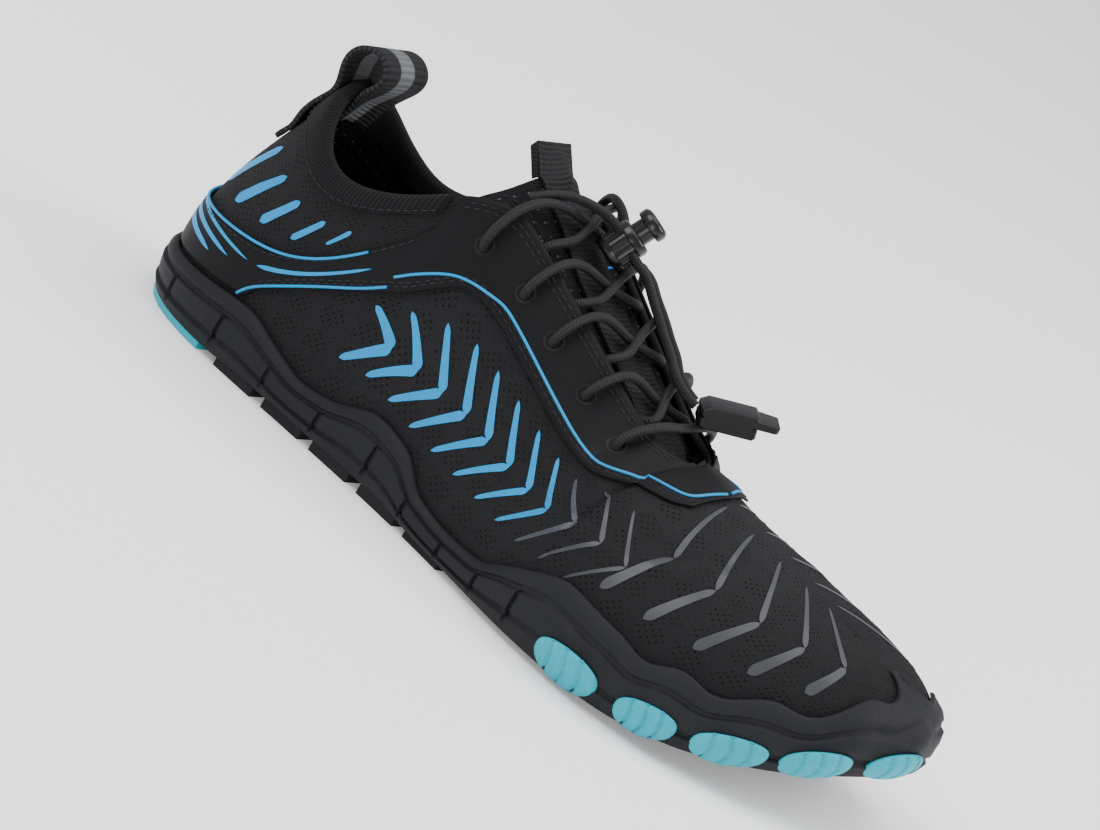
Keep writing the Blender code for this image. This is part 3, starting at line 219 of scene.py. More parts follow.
# Heel pull loop: heights and cover on the back, steps ahead of and above the collar's edge as shares
# of LOOP_RISE, and heights inside
LOOP_SPREAD = 0.044
LOOP_BACK = [(0.66, 0), (0.74, 0), (0.80, 1), (0.88, 1), (0.97, 1)]
LOOP_OVER = [(-0.25, 0.45), (-0.11, 0.79), (0.25, 1.00), (0.64, 0.96), (0.875, 0.71),
             (0.82, 0.39), (0.64, 0.11)]
LOOP_INSIDE = [0.955, 0.90, 0.85]

# Blue pods round the toe: centre as a signed place, then sizes
TOE_PODS = [
    # place, half length, centre height, half height
    (-0.304, 0.0108, 0.0068, 0.0062),
    (-0.222, 0.0086, 0.0064, 0.0057),
    (-0.153, 0.0088, 0.0062, 0.0056),
    (-0.090, 0.0080, 0.0062, 0.0056),
    (-0.018, 0.0102, 0.0064, 0.0057),
]

# Black lugs along both lower edges, chevron bars between them and upright cuts: shares of LENGTH
EDGE_LUGS = [(0.178, 0.236), (0.254, 0.312), (0.330, 0.388), (0.406, 0.464), (0.482, 0.540)]
CHEVRONS = [0.205, 0.280, 0.355, 0.430, 0.505]
CHEVRON_HALF = 0.150
CHEVRON_LENGTH = 0.0065
CHEVRON_POINT = 0.0060
SIDE_SLOTS = [0.085, 0.165, 0.245, 0.325, 0.405, 0.470, 0.535, 0.595, 0.650]

# Cord lock and end clip: where they rest and the ways they point
LOCK_ALONG = 0.4225
LOCK_SIDE = 0.0030
LOCK_REST = 0.0106
LOCK_AXIS = (0.27, 0.40, 0.875)
CLIP_AXIS = (0.74, 0.62, 0.24)
CLIP_AHEAD = 0.0054
CLIP_SIDE = 0.0110
CLIP_LIFT = 0.0042

# Routes of the free lace, given point by point
TOP_STRANDS = {
    "lace_top_near": [(0.0712, -0.0200, 0.0940), (0.0732, -0.0160, 0.0966), (0.0772, -0.0098, 0.0992),
                      (0.0830, -0.0046, 0.0998), (0.0888, -0.0009, 0.0985)],
    "lace_top_far": [(0.0712, 0.0196, 0.0941), (0.0734, 0.0170, 0.0974), (0.0776, 0.0134, 0.0998),
                     (0.0834, 0.0106, 0.0988), (0.0881, 0.0085, 0.0959)],
}
TAIL_STRANDS = {
    "lace_tail_a": [(0.1000, 0.0035, 0.0920), (0.1022, 0.0050, 0.0906), (0.1044, 0.0064, 0.0886),
                    (0.1062, 0.0076, 0.0864), (0.1098, 0.0082, 0.0835), (0.1140, 0.0079, 0.0808),
                    (0.1184, 0.0070, 0.0784), (0.1228, 0.0056, 0.0764), (0.1270, 0.0039, 0.0742),
                    (0.1312, 0.0025, 0.0729), (0.1350, 0.0026, 0.0716), (0.1378, 0.0038, 0.0708)],
    "lace_tail_b": [(0.0986, 0.0063, 0.0911), (0.1010, 0.0083, 0.0902), (0.1036, 0.0099, 0.0884),
                    (0.1059, 0.0110, 0.0860), (0.1098, 0.0116, 0.0832), (0.1140, 0.0113, 0.0806),
                    (0.1184, 0.0103, 0.0782), (0.1228, 0.0089, 0.0762), (0.1266, 0.0072, 0.0740),
                    (0.1302, 0.0059, 0.0728), (0.1334, 0.0056, 0.0717), (0.1356, 0.0064, 0.0709)],
}


@lru_cache(maxsize=None)
def spline_bends(knots, values):
    """Bend at each knot of the smooth curve through the values, straight at its ends."""
    step = np.diff(knots)
    count = len(knots)
    matrix = np.zeros((count, count))
    right = np.zeros(count)
    matrix[0, 0] = matrix[-1, -1] = 1.0
    for i in range(1, count - 1):
        matrix[i, i - 1] = step[i - 1]
        matrix[i, i] = 2 * (step[i - 1] + step[i])
        matrix[i, i + 1] = step[i]
        right[i] = 6 * ((values[i + 1] - values[i]) / step[i] - (values[i] - values[i - 1]) / step[i - 1])
    return np.linalg.solve(matrix, right)


def natural_spline(knots, values, at):
    """Smooth curve through the rows of values."""
    knots, values, at = np.asarray(knots, float), np.asarray(values, float), np.asarray(at, float)
    bend = spline_bends(tuple(knots), tuple(values))
    step = np.diff(knots)
    i = np.clip(np.searchsorted(knots, at) - 1, 0, len(knots) - 2)
    a = (knots[i + 1] - at) / step[i]
    b = 1 - a
    return (a * values[i] + b * values[i + 1]
            + ((a ** 3 - a) * bend[i] + (b ** 3 - b) * bend[i + 1]) * step[i] ** 2 / 6)


def steady_curve(knots, values, at):
    """Curve through the rows of values that never swings past them."""
    knots, values, at = np.asarray(knots, float), np.asarray(values, float), np.asarray(at, float)
    step = np.diff(knots)
    rise = np.diff(values) / step
    slope = np.zeros(len(knots))
    slope[0], slope[-1] = rise[0], rise[-1]
    for i in range(1, len(knots) - 1):
        if rise[i - 1] * rise[i] > 0:
            slope[i] = 2 * rise[i - 1] * rise[i] / (rise[i - 1] + rise[i])
    i = np.clip(np.searchsorted(knots, at) - 1, 0, len(knots) - 2)
    t = np.clip((at - knots[i]) / step[i], 0, 1)
    return ((2 * t ** 3 - 3 * t ** 2 + 1) * values[i] + (t ** 3 - 2 * t ** 2 + t) * step[i] * slope[i]
            + (3 * t ** 2 - 2 * t ** 3) * values[i + 1] + (t ** 3 - t ** 2) * step[i] * slope[i + 1])


def smooth_step(low, high, at):
    """0 below low, 1 above high, and smooth between."""
    t = np.clip((np.asarray(at, float) - low) / (high - low), 0, 1)
    return t * t * (3 - 2 * t)


def unit(vector):
    """The vector at length 1."""
    vector = np.asarray(vector, float)
    return vector / np.linalg.norm(vector, axis=-1, keepdims=True)


def outline_runs():
    """Distance round the outline from the toe tip to each row of LAST, by the average of both sides."""
    total = np.zeros(len(LAST))
    for along, across in ((FOOT_OUT, Y_OUT), (FOOT_IN, Y_IN)):
        x, y = LAST[:, along] * LENGTH, LAST[:, across] * BALL_WIDTH
        total[1:] += np.cumsum(np.hypot(np.diff(x), np.diff(y))) / 2
    return total


HALF_OUTLINE = outline_runs()[-1]
STATIONS = outline_runs() / HALF_OUTLINE
THROAT_PLACE = STATIONS[THROAT_ROW]
THROAT_SIDE = STATIONS[THROAT_ROW + 1]


def half_places():
    """Places of the meshes' sections: close together at the toe, the throat's base and the heel."""
    base = np.array([0.0, 0.10, 0.28, 0.52, 0.78]) * (THROAT_SIDE - THROAT_PLACE) + THROAT_PLACE
    return np.concatenate([
        [0.0, 0.0125], np.linspace(0.0, 0.20, 9)[1:-1], np.linspace(0.20, 0.335, 5)[:-1],
        np.linspace(0.335, THROAT_PLACE, 4)[:-1],
        base, np.linspace(THROAT_SIDE, 0.652, 7)[:-1], [0.652, 0.673, 0.690, 0.697, 0.725, 0.757],
        np.linspace(0.795, 1.0, 9),
    ])


PLACES = half_places()


def share_of(x):
    """Share of the shoe's length at x."""
    return (np.asarray(x, float) - HEEL_BACK) / LENGTH


def at_share(share):
    """x at a share of the shoe's length."""
    return HEEL_BACK + LENGTH * share


def wrapped(place):
    """The same place between -1 and 1, which are both the back of the heel."""
    return (np.asarray(place, float) + 1) % 2 - 1


def toe_lift(x):
    """Height that the toe spring and the rolled heel edge add at a place along the shoe."""
    share = share_of(x)
    toe = TOE_SPRING * np.clip((share - SPRING_START) / (1 - SPRING_START), 0, 1.2) ** SPRING_POWER
    heel = HEEL_ROLL * np.clip((0.06 - share) / 0.06, 0, 1) ** 2
    return toe + heel


def foot_line(place):
    """Plan position of the foot of the section at a signed place."""
    place = wrapped(place)
    wrap = 4
    knots = np.concatenate([-STATIONS[::-1], STATIONS[1:]])
    found = []
    for out, inner, size in ((FOOT_OUT, FOOT_IN, LENGTH), (Y_OUT, Y_IN, BALL_WIDTH)):
        values = np.concatenate([LAST[::-1, out], LAST[1:, inner]]) * size
        k = np.concatenate([knots[-wrap - 1:-1] - 2, knots, knots[1:wrap + 1] + 2])
        v = np.concatenate([values[-wrap - 1:-1], values, values[1:wrap + 1]])
        found.append(natural_spline(k, v, place))
    return HEEL_BACK + found[0], found[1]


def outward(place):
    """Unit vector in plan that points out of the shoe at a signed place."""
    small = 1e-4
    x0, y0 = foot_line(place - small)
    x1, y1 = foot_line(place + small)
    dx, dy = x1 - x0, y1 - y0
    size = np.hypot(dx, dy)
    return dy / size, -dx / size


def throat_half(at):
    """Half width of the opening, as a share of BALL_WIDTH, with a round end at the throat's base."""
    t = np.clip((at - THROAT_PLACE) / (THROAT_SIDE - THROAT_PLACE), 0, 1)
    open_rows = slice(THROAT_ROW + 1, None)
    half = steady_curve(STATIONS[open_rows], LAST[open_rows, TOP_HALF], np.maximum(at, THROAT_SIDE))
    return half * np.sqrt(1 - (1 - t) ** 2)


def top_line(place):
    """Where the section at a signed place ends: on the ridge, the throat edge or the collar."""
    side = np.sign(place)
    at = np.abs(place)
    x = at_share(natural_spline(STATIONS, LAST[:, TOP_ALONG], at))
    y = BALL_WIDTH * (natural_spline(STATIONS, LAST[:, RIDGE_Y], at) + side * throat_half(at))
    z = SOLE_THICKNESS + toe_lift(x) + INSTEP_RISE * natural_spline(STATIONS, LAST[:, TOP_RISE], at)
    return x, y, z


def last_surface(place, height):
    """Point on the outside of the upper."""
    place, height = np.broadcast_arrays(wrapped(place), np.asarray(height, float))
    at = np.abs(place)
    fx, fy = foot_line(place)
    fz = SOLE_THICKNESS + SEAM_GAP + toe_lift(fx)
    nx, ny = outward(place)
    tx, ty, tz = top_line(place)
    start, end = np.stack([fx, fy, fz], -1), np.stack([tx, ty, tz], -1)
    span = np.linalg.norm(end - start, axis=-1)
    low = np.radians(natural_spline(STATIONS, LAST[:, LOW_LEAN], at))
    high = np.radians(natural_spline(STATIONS, LAST[:, HIGH_LEAN], at))
    low_pull = span * natural_spline(STATIONS, LAST[:, LOW_PULL], at)
    high_pull = span * natural_spline(STATIONS, LAST[:, HIGH_PULL], at)
    small = 1e-3
    ax, _, az = top_line(at + small)
    bx, _, bz = top_line(np.maximum(at - small, 0))
    slope = (az - bz) / np.where(np.abs(ax - bx) < 1e-9, -1e-9, ax - bx) * smooth_step(1.1, 1.4, high)
    rise = np.stack([nx * np.sin(low), ny * np.sin(low), np.cos(low)], -1)
    fall = np.stack([-nx * np.sin(high), -ny * np.sin(high), np.cos(high) - nx * slope * np.sin(high)], -1)
    second = start + rise * low_pull[..., None]
    third = end - fall * high_pull[..., None]
    t = height[..., None]
    return ((1 - t) ** 3 * start + 3 * (1 - t) ** 2 * t * second
            + 3 * (1 - t) * t ** 2 * third + t ** 3 * end)


def side_normal(place, height):
    """Unit vector out of one side of the upper."""
    small = 2e-3
    height = np.clip(height, small, 1 - small)
    across = last_surface(place + small, height) - last_surface(place - small, height)
    upward = last_surface(place, height + small) - last_surface(place, height - small)
    return unit(np.cross(across, upward))


def last_normal(place, height):
    """Unit vector out of the upper's outside; on the ridge both sides share one."""
    place, height = np.broadcast_arrays(np.asarray(place, float), np.asarray(height, float))
    normal = side_normal(place, height)
    on_ridge = (height > 0.99) & (np.abs(place) <= THROAT_PLACE + 1e-6)
    return np.where(on_ridge[..., None], unit(normal + side_normal(-place, height)), normal)


def crease(place, height):
    """How far the soft creases lift the upper's surface."""
    along = np.abs(np.asarray(place, float)) * HALF_OUTLINE
    upward = np.asarray(height, float) * INSTEP_RISE
    lift = 0.0
    for place_0, height_0, place_1, height_1, half_width, depth in CREASES:
        way = np.array([(place_1 - place_0) * HALF_OUTLINE, (height_1 - height_0) * INSTEP_RISE])
        length = math.hypot(*way)
        way = way / length
        du, dv = along - place_0 * HALF_OUTLINE, upward - height_0 * INSTEP_RISE
        run = du * way[0] + dv * way[1]
        past = np.maximum(np.maximum(-run, run - length), 0)
        off = du * way[1] - dv * way[0]
        lift = lift + 0.001 * depth * np.exp(-(off * off + past * past) / (0.001 * half_width) ** 2)
    return lift


def skin(place, height, offset):
    """Point at a distance outside the upper's creased outside."""
    place, height, offset = np.broadcast_arrays(*(np.asarray(v, float) for v in (place, height, offset)))
    raised = offset + crease(place, height)
    return last_surface(place, height) + raised[..., None] * last_normal(place, height)


def height_at(place, z):
    """Height share on each section where the upper's outside reaches z."""
    shares = np.linspace(0, 0.7, 36)
    found = []
    for p, level in zip(np.atleast_1d(place), np.atleast_1d(z)):
        found.append(np.interp(level, last_surface(p, shares)[:, 2], shares))
    return np.array(found)


def place_at_share(side, share):
    """Signed place where the foot line lies at a share of the length; side is -1 outer, 1 inner."""
    places = np.linspace(0.0, 1.0, 400)
    x, _ = foot_line(side * places)
    return side * float(np.interp(-share, -share_of(x), places))


def sidewall_top(place):
    """Height above the floor of the rubber's top edge, with its scallops round the toe."""
    place = np.asarray(place, float)
    x, _ = foot_line(place)
    share = share_of(x)
    outer = steady_curve(SIDEWALL_TOP[:, 0], SIDEWALL_TOP[:, 1], share)
    inner = steady_curve(SIDEWALL_TOP[:, 0], SIDEWALL_TOP[:, 2], share)
    near = np.where(np.abs(place) > 0.5, (1 - np.abs(place)) * np.sign(place), place)
    blend = smooth_step(-0.15, 0.15, near)
    wave = np.cos(2 * math.pi * place * HALF_OUTLINE / SCALLOP_LENGTH)
    scallops = SCALLOP_RISE * wave * smooth_step(SCALLOP_FROM, SCALLOP_FROM + 0.08, share)
    return SIDEWALL_HEIGHT * (outer * (1 - blend) + inner * blend) + scallops + toe_lift(x)


def tread_base(x):
    """Height of the sole's underside between its lugs."""
    share = share_of(x)
    arch = smooth_step(ARCH_FROM - 0.05, ARCH_FROM + 0.05, share)
    arch = arch * smooth_step(ARCH_TO + 0.05, ARCH_TO - 0.05, share)
    return LUG_DEPTH + toe_lift(x) + ARCH_RISE * arch


def beside_foot(place, reach, z=0.0):
    """Point at a distance outside the foot line, at a height."""
    fx, fy = foot_line(place)
    nx, ny = outward(place)
    return np.array([fx + nx * reach, fy + ny * reach, z])


def grid_faces(rows, columns, closed_rows=False, closed_columns=False):
    """Four-sided faces of a grid of vertices stored row by row."""
    faces = []
    for i in range(rows if closed_rows else rows - 1):
        for j in range(columns if closed_columns else columns - 1):
            a, b = i * columns + j, i * columns + (j + 1) % columns
            c, d = ((i + 1) % rows) * columns + (j + 1) % columns, ((i + 1) % rows) * columns + j
            faces.append((a, d, c, b))
    return faces


@lru_cache(maxsize=None)
def tongue_row(step):
    """Points across the tongue's outside at a share of its length, from the outer side to the inner side."""
    knots = np.linspace(0, 1, len(TONGUE))
    place, tuck, arch, ahead, roundness, clear = (
        float(steady_curve(knots, column, step)) for column in TONGUE.T)
    offset = -(UPPER_WALL + TONGUE_CLEARANCE * clear)
    outer, inner = ([skin(side * place, tuck - drop, offset) for drop in TONGUE_TUCK] for side in (-1, 1))
    left, right = outer[-1], inner[-1]
    lift = np.array([LENGTH * ahead, 0, INSTEP_RISE * arch])
    middle = [left + (right - left) * (t + 1) / 2 + lift * (1 - abs(t) ** roundness)
              for t in (-0.68, -0.36, 0.0, 0.36, 0.68)]
    return np.array(outer + middle + inner[::-1])


def tongue_point(step, y):
    """Point on the tongue's outside at a share of its length and a distance from the centre line."""
    row = tongue_row(step)
    return np.array([np.interp(y, row[:, 1], row[:, 0]), y, np.interp(y, row[:, 1], row[:, 2])])


@lru_cache(maxsize=None)
def tongue_out(step):
    """Unit vector out of the tongue on its centre line."""
    run = unit(tongue_point(min(step + 0.01, 1), 0) - tongue_point(max(step - 0.01, 0), 0))
    return np.array([run[2], 0, -run[0]])


@lru_cache(maxsize=None)
def tongue_step_at(x):
    """Share of the tongue's length where its centre line passes x."""
    steps = np.linspace(0, 1, 80)
    found = [tongue_point(step, 0)[0] for step in steps]
    return float(np.interp(-x, -np.array(found), steps))


def tread_blocks():
    """Lugs along both edges and chevron bars between them."""
    outlines = []
    for side in (-1, 1):
        for first, last in EDGE_LUGS:
            places = [place_at_share(side, share) for share in np.linspace(first, last, 3)]
            outer = [beside_foot(p, LUG_EDGE)[:2] for p in places]
            outlines.append(outer + [beside_foot(p, LUG_EDGE - LUG_REACH)[:2] for p in places[::-1]])
    for share in CHEVRONS:
        x, half = at_share(share), CHEVRON_HALF * BALL_WIDTH
        back = x + CHEVRON_LENGTH
        outlines.append([(x, -half), (x + CHEVRON_POINT, 0), (x, half),
                         (back, half), (back + CHEVRON_POINT, 0), (back, -half)])
    return [(outline, 0.0, 0.7 * SOLE_THICKNESS) for outline in outlines]



# Soft ridges and, where the depth is negative, troughs of the upper, listed one by one
CREASES = [
    # place, height, to_place, to_height, half_width in mm, depth in mm
    (0.405, 0.42, 0.300, 0.62, 4.5, -0.55), (0.375, 0.36, 0.270, 0.55, 3.6, 0.35),
    (0.345, 0.45, 0.255, 0.74, 4.0, -0.45), (0.300, 0.50, 0.215, 0.80, 4.5, 0.30),
    (0.560, 0.30, 0.470, 0.46, 5.0, -0.40), (0.690, 0.46, 0.610, 0.36, 5.5, -0.45),
    (0.860, 0.52, 0.770, 0.70, 4.5, -0.50), (0.900, 0.60, 0.840, 0.76, 4.0, 0.35),
    (0.730, 0.78, 0.660, 0.84, 4.0, -0.40),
]

# Printed chevrons and stripes, a plain design in which every row points towards the toe. Places and heights are
# shares, widths are in millimetres, and the colour goes from 0 for blue to 1 for grey
QUARTER_CHEVRONS = 11
QUARTER_FROM, QUARTER_STEP, QUARTER_POINT = 0.700, 0.034, 0.040
QUARTER_MIDDLE, QUARTER_SPAN = (0.360, 0.410), (0.115, 0.190)
QUARTER_WIDTH = (3.8, 1.4)
GREY_FROM, GREY_TO = 0.520, 0.380
TOE_CHEVRONS = 5
TOE_FROM, TOE_STEP, TOE_POINT = 0.325, 0.050, 0.028
TOE_LOW, TOE_MIDDLE, TOE_HIGH = 0.285, 0.580, 0.960
ANKLE_STRIPES = [
    # place, height, to_place, to_height
    (0.955, 0.420, 0.925, 0.720), (0.910, 0.460, 0.880, 0.740), (0.865, 0.530, 0.838, 0.760),
    (0.820, 0.600, 0.796, 0.770), (0.782, 0.670, 0.765, 0.770),
]
COUNTER_STRIPES = [
    # place, height, to_place, to_height, width, to_width
    (1.012, 0.232, 0.885, 0.262, 3.4, 1.2), (1.012, 0.262, 0.862, 0.322, 2.4, 1.0),
    (1.012, 0.290, 0.840, 0.385, 1.6, 0.8), (0.828, 0.400, 0.722, 0.618, 1.4, 0.8),
]

# Piping lines as place and height share
UPPER_PIPING = [(0.998, 0.320), (0.964, 0.322), (0.920, 0.362), (0.871, 0.432), (0.811, 0.528),
                (0.767, 0.612), (0.735, 0.690)]
LOWER_PIPING = [(0.828, 0.235), (0.811, 0.335), (0.767, 0.458), (0.725, 0.520), (0.699, 0.556)]
EYESTAY_PIPING = [(0.699, 0.600), (0.660, 0.668), (0.620, 0.728), (0.595, 0.752), (0.546, 0.738),
                  (0.476, 0.712), (0.420, 0.716), (0.385, 0.742), (0.352, 0.800),
                  (0.343, 0.880), (0.340, 0.985)]
LACE_SIDES = 14
PIPING_SIDES = 8
THREAD_SIDES = 5
CAMERA_REACH = 1.6
FLOOR_HALF = 4.0
CAMERA_RIGHT = (0.689, 0.523, 0.501)
CAMERA_BACK = (0.434, -0.852, 0.292)
CAMERA_AIM = (0.0864, 0.0315, 0.0316)
FRAME_WIDTH = 0.318


class ShoeColours(bpy.types.PropertyGroup):
    """Colours of the knit, print and rubber"""
    knit: FloatVectorProperty(name="Knit", description="Yarn of the upper", subtype="COLOR",
                              default=(0.009, 0.009, 0.010), size=3, min=0, max=1)
    blue: FloatVectorProperty(name="Print", description="Blue print and piping", subtype="COLOR",
                              default=(0.0, 0.215, 0.47), size=3, min=0, max=1)
    grey: FloatVectorProperty(name="Faded print", description="Grey that the print fades to", subtype="COLOR",
                              default=(0.042, 0.044, 0.049), size=3, min=0, max=1)
    rubber: FloatVectorProperty(name="Rubber", description="Charcoal sole rubber", subtype="COLOR",
                                default=(0.0085, 0.0088, 0.0105), size=3, min=0, max=1)
    pods: FloatVectorProperty(name="Pods", description="Turquoise rubber of pods and pads", subtype="COLOR",
                              default=(0.008, 0.315, 0.40), size=3, min=0, max=1)


class ShoeSizes(bpy.types.PropertyGroup):
    """Sizes of the fine details"""
    stitch: FloatProperty(name="Stitch", description="Length of one stitch", default=0.0021, unit="LENGTH")
    stitch_gap: FloatProperty(name="Stitch gap", description="Space between stitches", default=0.0009,
                              unit="LENGTH")
    thread: FloatProperty(name="Thread", description="Thickness of the sewing thread", default=0.00042,
                          unit="LENGTH")
    piping: FloatProperty(name="Piping", description="Thickness of the blue piping", default=0.0009,
                          unit="LENGTH")
    print_rise: FloatProperty(name="Print rise", description="How far the print stands off the knit",
                              default=0.00014, unit="LENGTH")
    columns: IntProperty(name="Columns", description="Sections on each side of the fine meshes", default=230)


def colours():
    """The scene's colour settings."""
    return bpy.context.scene.shoe_colours


def sizes():
    """The scene's detail sizes."""
    return bpy.context.scene.shoe_sizes


def fine_places(count, first=0.0, last=1.0):
    """Places of a fine mesh, spread as the sections of the last are."""
    base = PLACES[(PLACES > first) & (PLACES < last)]
    base = np.concatenate([[first], base, [last]])
    return np.interp(np.linspace(0, len(base) - 1, count), np.arange(len(base)), base)


class Look:
    """A material whose nodes are built in short steps."""

    def __init__(self, name, colour, roughness, **sockets):
        self.material = bpy.data.materials.new(name)
        self.material.use_nodes = True
        self.tree = self.material.node_tree
        self.shader = self.tree.nodes["Principled BSDF"]
        self.shader.inputs["Base Color"].default_value = (*colour, 1)
        self.shader.inputs["Roughness"].default_value = roughness
        for socket, value in sockets.items():
            self.shader.inputs[socket.replace("_", " ")].default_value = value

    def math(self, operation, first, second=None):
        """Output of a Math node."""
        step = self.tree.nodes.new("ShaderNodeMath")
        step.operation = operation
        for slot, value in zip(step.inputs, (first, second)):
            if value is None:
                continue
            if isinstance(value, (int, float)):
                slot.default_value = value
            else:
                self.tree.links.new(value, slot)
        return step.outputs[0]

    def weave(self):
        """The two directions of the cloth, in metres."""
        where = self.tree.nodes.new("ShaderNodeTexCoord")
        parts = self.tree.nodes.new("ShaderNodeSeparateXYZ")
        self.tree.links.new(where.outputs["UV"], parts.inputs[0])
        return parts.outputs[0], parts.outputs[1]

    def noise(self, size, detail=3.0):
        """Grain of a size in metres."""
        where = self.tree.nodes.new("ShaderNodeTexCoord")
        grain = self.tree.nodes.new("ShaderNodeTexNoise")
        grain.inputs["Scale"].default_value = 1 / size
        grain.inputs["Detail"].default_value = detail
        self.tree.links.new(where.outputs["Object"], grain.inputs["Vector"])
        return grain.outputs["Fac"]

    def waves(self, along, pitch, shift=0.0):
        """Even waves between 0 and 1 along one direction."""
        turn = self.math("ADD", self.math("MULTIPLY", along, 2 * math.pi / pitch), shift)
        return self.math("MULTIPLY", self.math("ADD", self.math("SINE", turn), 1.0), 0.5)

    def between(self, value, low, high):
        """0 below low, 1 above high."""
        ramp = self.tree.nodes.new("ShaderNodeMapRange")
        ramp.interpolation_type = "SMOOTHSTEP"
        self.tree.links.new(value, ramp.inputs["Value"])
        ramp.inputs["From Min"].default_value = low
        ramp.inputs["From Max"].default_value = high
        return ramp.outputs[0]

    def blend(self, factor, first, second):
        """Mix of two colours, joined to the base colour."""
        mixer = self.tree.nodes.new("ShaderNodeMix")
        mixer.data_type = "RGBA"
        self.tree.links.new(factor, mixer.inputs[0])
        for slot, value in ((mixer.inputs[6], first), (mixer.inputs[7], second)):
            if isinstance(value, tuple):
                slot.default_value = (*value, 1)
            else:
                self.tree.links.new(value, slot)
        self.tree.links.new(mixer.outputs[2], self.shader.inputs["Base Color"])
        return mixer.outputs[2]

    def rough(self, factor, low, high):
        """Roughness that varies with a factor."""
        self.tree.links.new(self.math("ADD", self.math("MULTIPLY", factor, high - low), low),
                            self.shader.inputs["Roughness"])

    def bump(self, height, distance, strength=1.0):
        """Relief of a height in metres."""
        relief = self.tree.nodes.new("ShaderNodeBump")
        relief.inputs["Distance"].default_value = distance
        relief.inputs["Strength"].default_value = strength
        self.tree.links.new(height, relief.inputs["Height"])
        self.tree.links.new(relief.outputs[0], self.shader.inputs["Normal"])


def shade(colour, factor):
    """A lighter or darker colour."""
    return tuple(min(1.0, part * factor) for part in colour)


@lru_cache(maxsize=None)
def knit_look(name="knit mesh", pitch=0.0024, open_share=0.55):
    """Open knit with small holes in staggered rows and a fine yarn."""
    cloth = Look(name, colours().knit, 0.88, Sheen_Weight=0.03, Specular_IOR_Level=0.10)
    u, v = cloth.weave()
    lean = cloth.math("ADD", u, v)
    other = cloth.math("SUBTRACT", u, v)
    cells = cloth.math("MULTIPLY", cloth.waves(lean, pitch * 1.15), cloth.waves(other, pitch * 1.15))
    wide = cloth.math("MULTIPLY", cloth.waves(u, pitch * 5.0), cloth.waves(v, pitch * 4.0))
    patch = cloth.between(wide, 0.08, 0.30)
    holes = cloth.math("MULTIPLY", cloth.between(cells, open_share, open_share + 0.22), patch)
    yarn = cloth.waves(v, pitch / 3.6)
    grain = cloth.noise(0.0006)
    cloth.blend(cloth.math("SUBTRACT", cloth.math("ADD", cloth.math("MULTIPLY", yarn, 0.45),
                                                  cloth.math("MULTIPLY", grain, 0.5)), holes),
                shade(colours().knit, 0.25), shade(colours().knit, 2.7))
    cloth.bump(cloth.math("SUBTRACT", cloth.math("MULTIPLY", yarn, 0.35), holes), 0.0008)
    return cloth.material


@lru_cache(maxsize=None)
def lining_look():
    """Inner mesh with wider pale gaps."""
    cloth = Look("lining mesh", shade(colours().knit, 1.2), 0.92, Specular_IOR_Level=0.08)
    u, v = cloth.weave()
    dots = cloth.math("MULTIPLY", cloth.waves(u, 0.0046), cloth.waves(v, 0.0052))
    dots = cloth.between(dots, 0.55, 0.78)
    fine = cloth.math("MULTIPLY", cloth.waves(u, 0.0015), cloth.waves(v, 0.0015))
    cloth.blend(cloth.math("MULTIPLY", dots, cloth.between(fine, 0.25, 0.6)),
                shade(colours().knit, 0.9), shade(colours().knit, 7.5))
    cloth.bump(cloth.math("ADD", fine, cloth.math("MULTIPLY", dots, -0.8)), 0.0004)
    return cloth.material


@lru_cache(maxsize=None)
def film_look():
    """Matte bonded film with a fine leather-like grain."""
    film = Look("bonded film", (0.0045, 0.0045, 0.005), 0.56, Specular_IOR_Level=0.12)
    pores = film.noise(0.0006, 4.0)
    wear = film.noise(0.018, 2.0)
    film.blend(film.math("MULTIPLY", wear, pores), (0.003, 0.003, 0.0035), (0.008, 0.008, 0.009))
    film.rough(wear, 0.48, 0.66)
    film.bump(pores, 0.00012, 0.8)
    return film.material


@lru_cache(maxsize=None)
def cuff_look():
    """Stretch binding with fine upright ribs."""
    cloth = Look("cuff cloth", (0.008, 0.008, 0.009), 0.85, Sheen_Weight=0.03, Specular_IOR_Level=0.08)
    u, v = cloth.weave()
    ribs = cloth.waves(u, 0.00085)
    fuzz = cloth.noise(0.0005)
    cloth.blend(cloth.math("MULTIPLY", ribs, fuzz), (0.004, 0.004, 0.0045), (0.016, 0.016, 0.0175))
    cloth.bump(cloth.math("ADD", ribs, fuzz), 0.00016)
    return cloth.material


@lru_cache(maxsize=None)
def webbing_look(stripe=0.0):
    """Woven tape with ribs across it and, if a width is given, a paler middle stripe."""
    cloth = Look(f"webbing {stripe:.3f}", (0.02, 0.02, 0.021), 0.8, Specular_IOR_Level=0.12)
    u, v = cloth.weave()
    ribs = cloth.waves(v, 0.00155)
    yarns = cloth.waves(u, 0.0008)
    body = cloth.math("MULTIPLY", cloth.math("ADD", ribs, 0.25), cloth.math("ADD", yarns, 0.5))
    mixed = cloth.blend(body, (0.005, 0.005, 0.0055), (0.026, 0.0265, 0.028))
    if stripe:
        band = cloth.between(cloth.math("ABSOLUTE", u), stripe * 1.15, stripe * 0.85)
        cloth.blend(band, mixed, (0.13, 0.135, 0.14))
    cloth.bump(body, 0.00035)
    return cloth.material


@lru_cache(maxsize=None)
def lace_look():
    """Round braid: two sets of strands that wind both ways."""
    braid = Look("lace braid", (0.008, 0.008, 0.009), 0.6, Specular_IOR_Level=0.22)
    u, v = braid.weave()
    way = braid.math("MULTIPLY", u, 0.0032 / (2 * math.pi))
    one = braid.waves(braid.math("ADD", v, way), 0.0008)
    two = braid.waves(braid.math("SUBTRACT", v, way), 0.0008)
    strands = braid.math("MAXIMUM", one, two)
    braid.blend(strands, (0.003, 0.003, 0.0034), (0.015, 0.015, 0.0165))
    braid.bump(strands, 0.00022)
    return braid.material


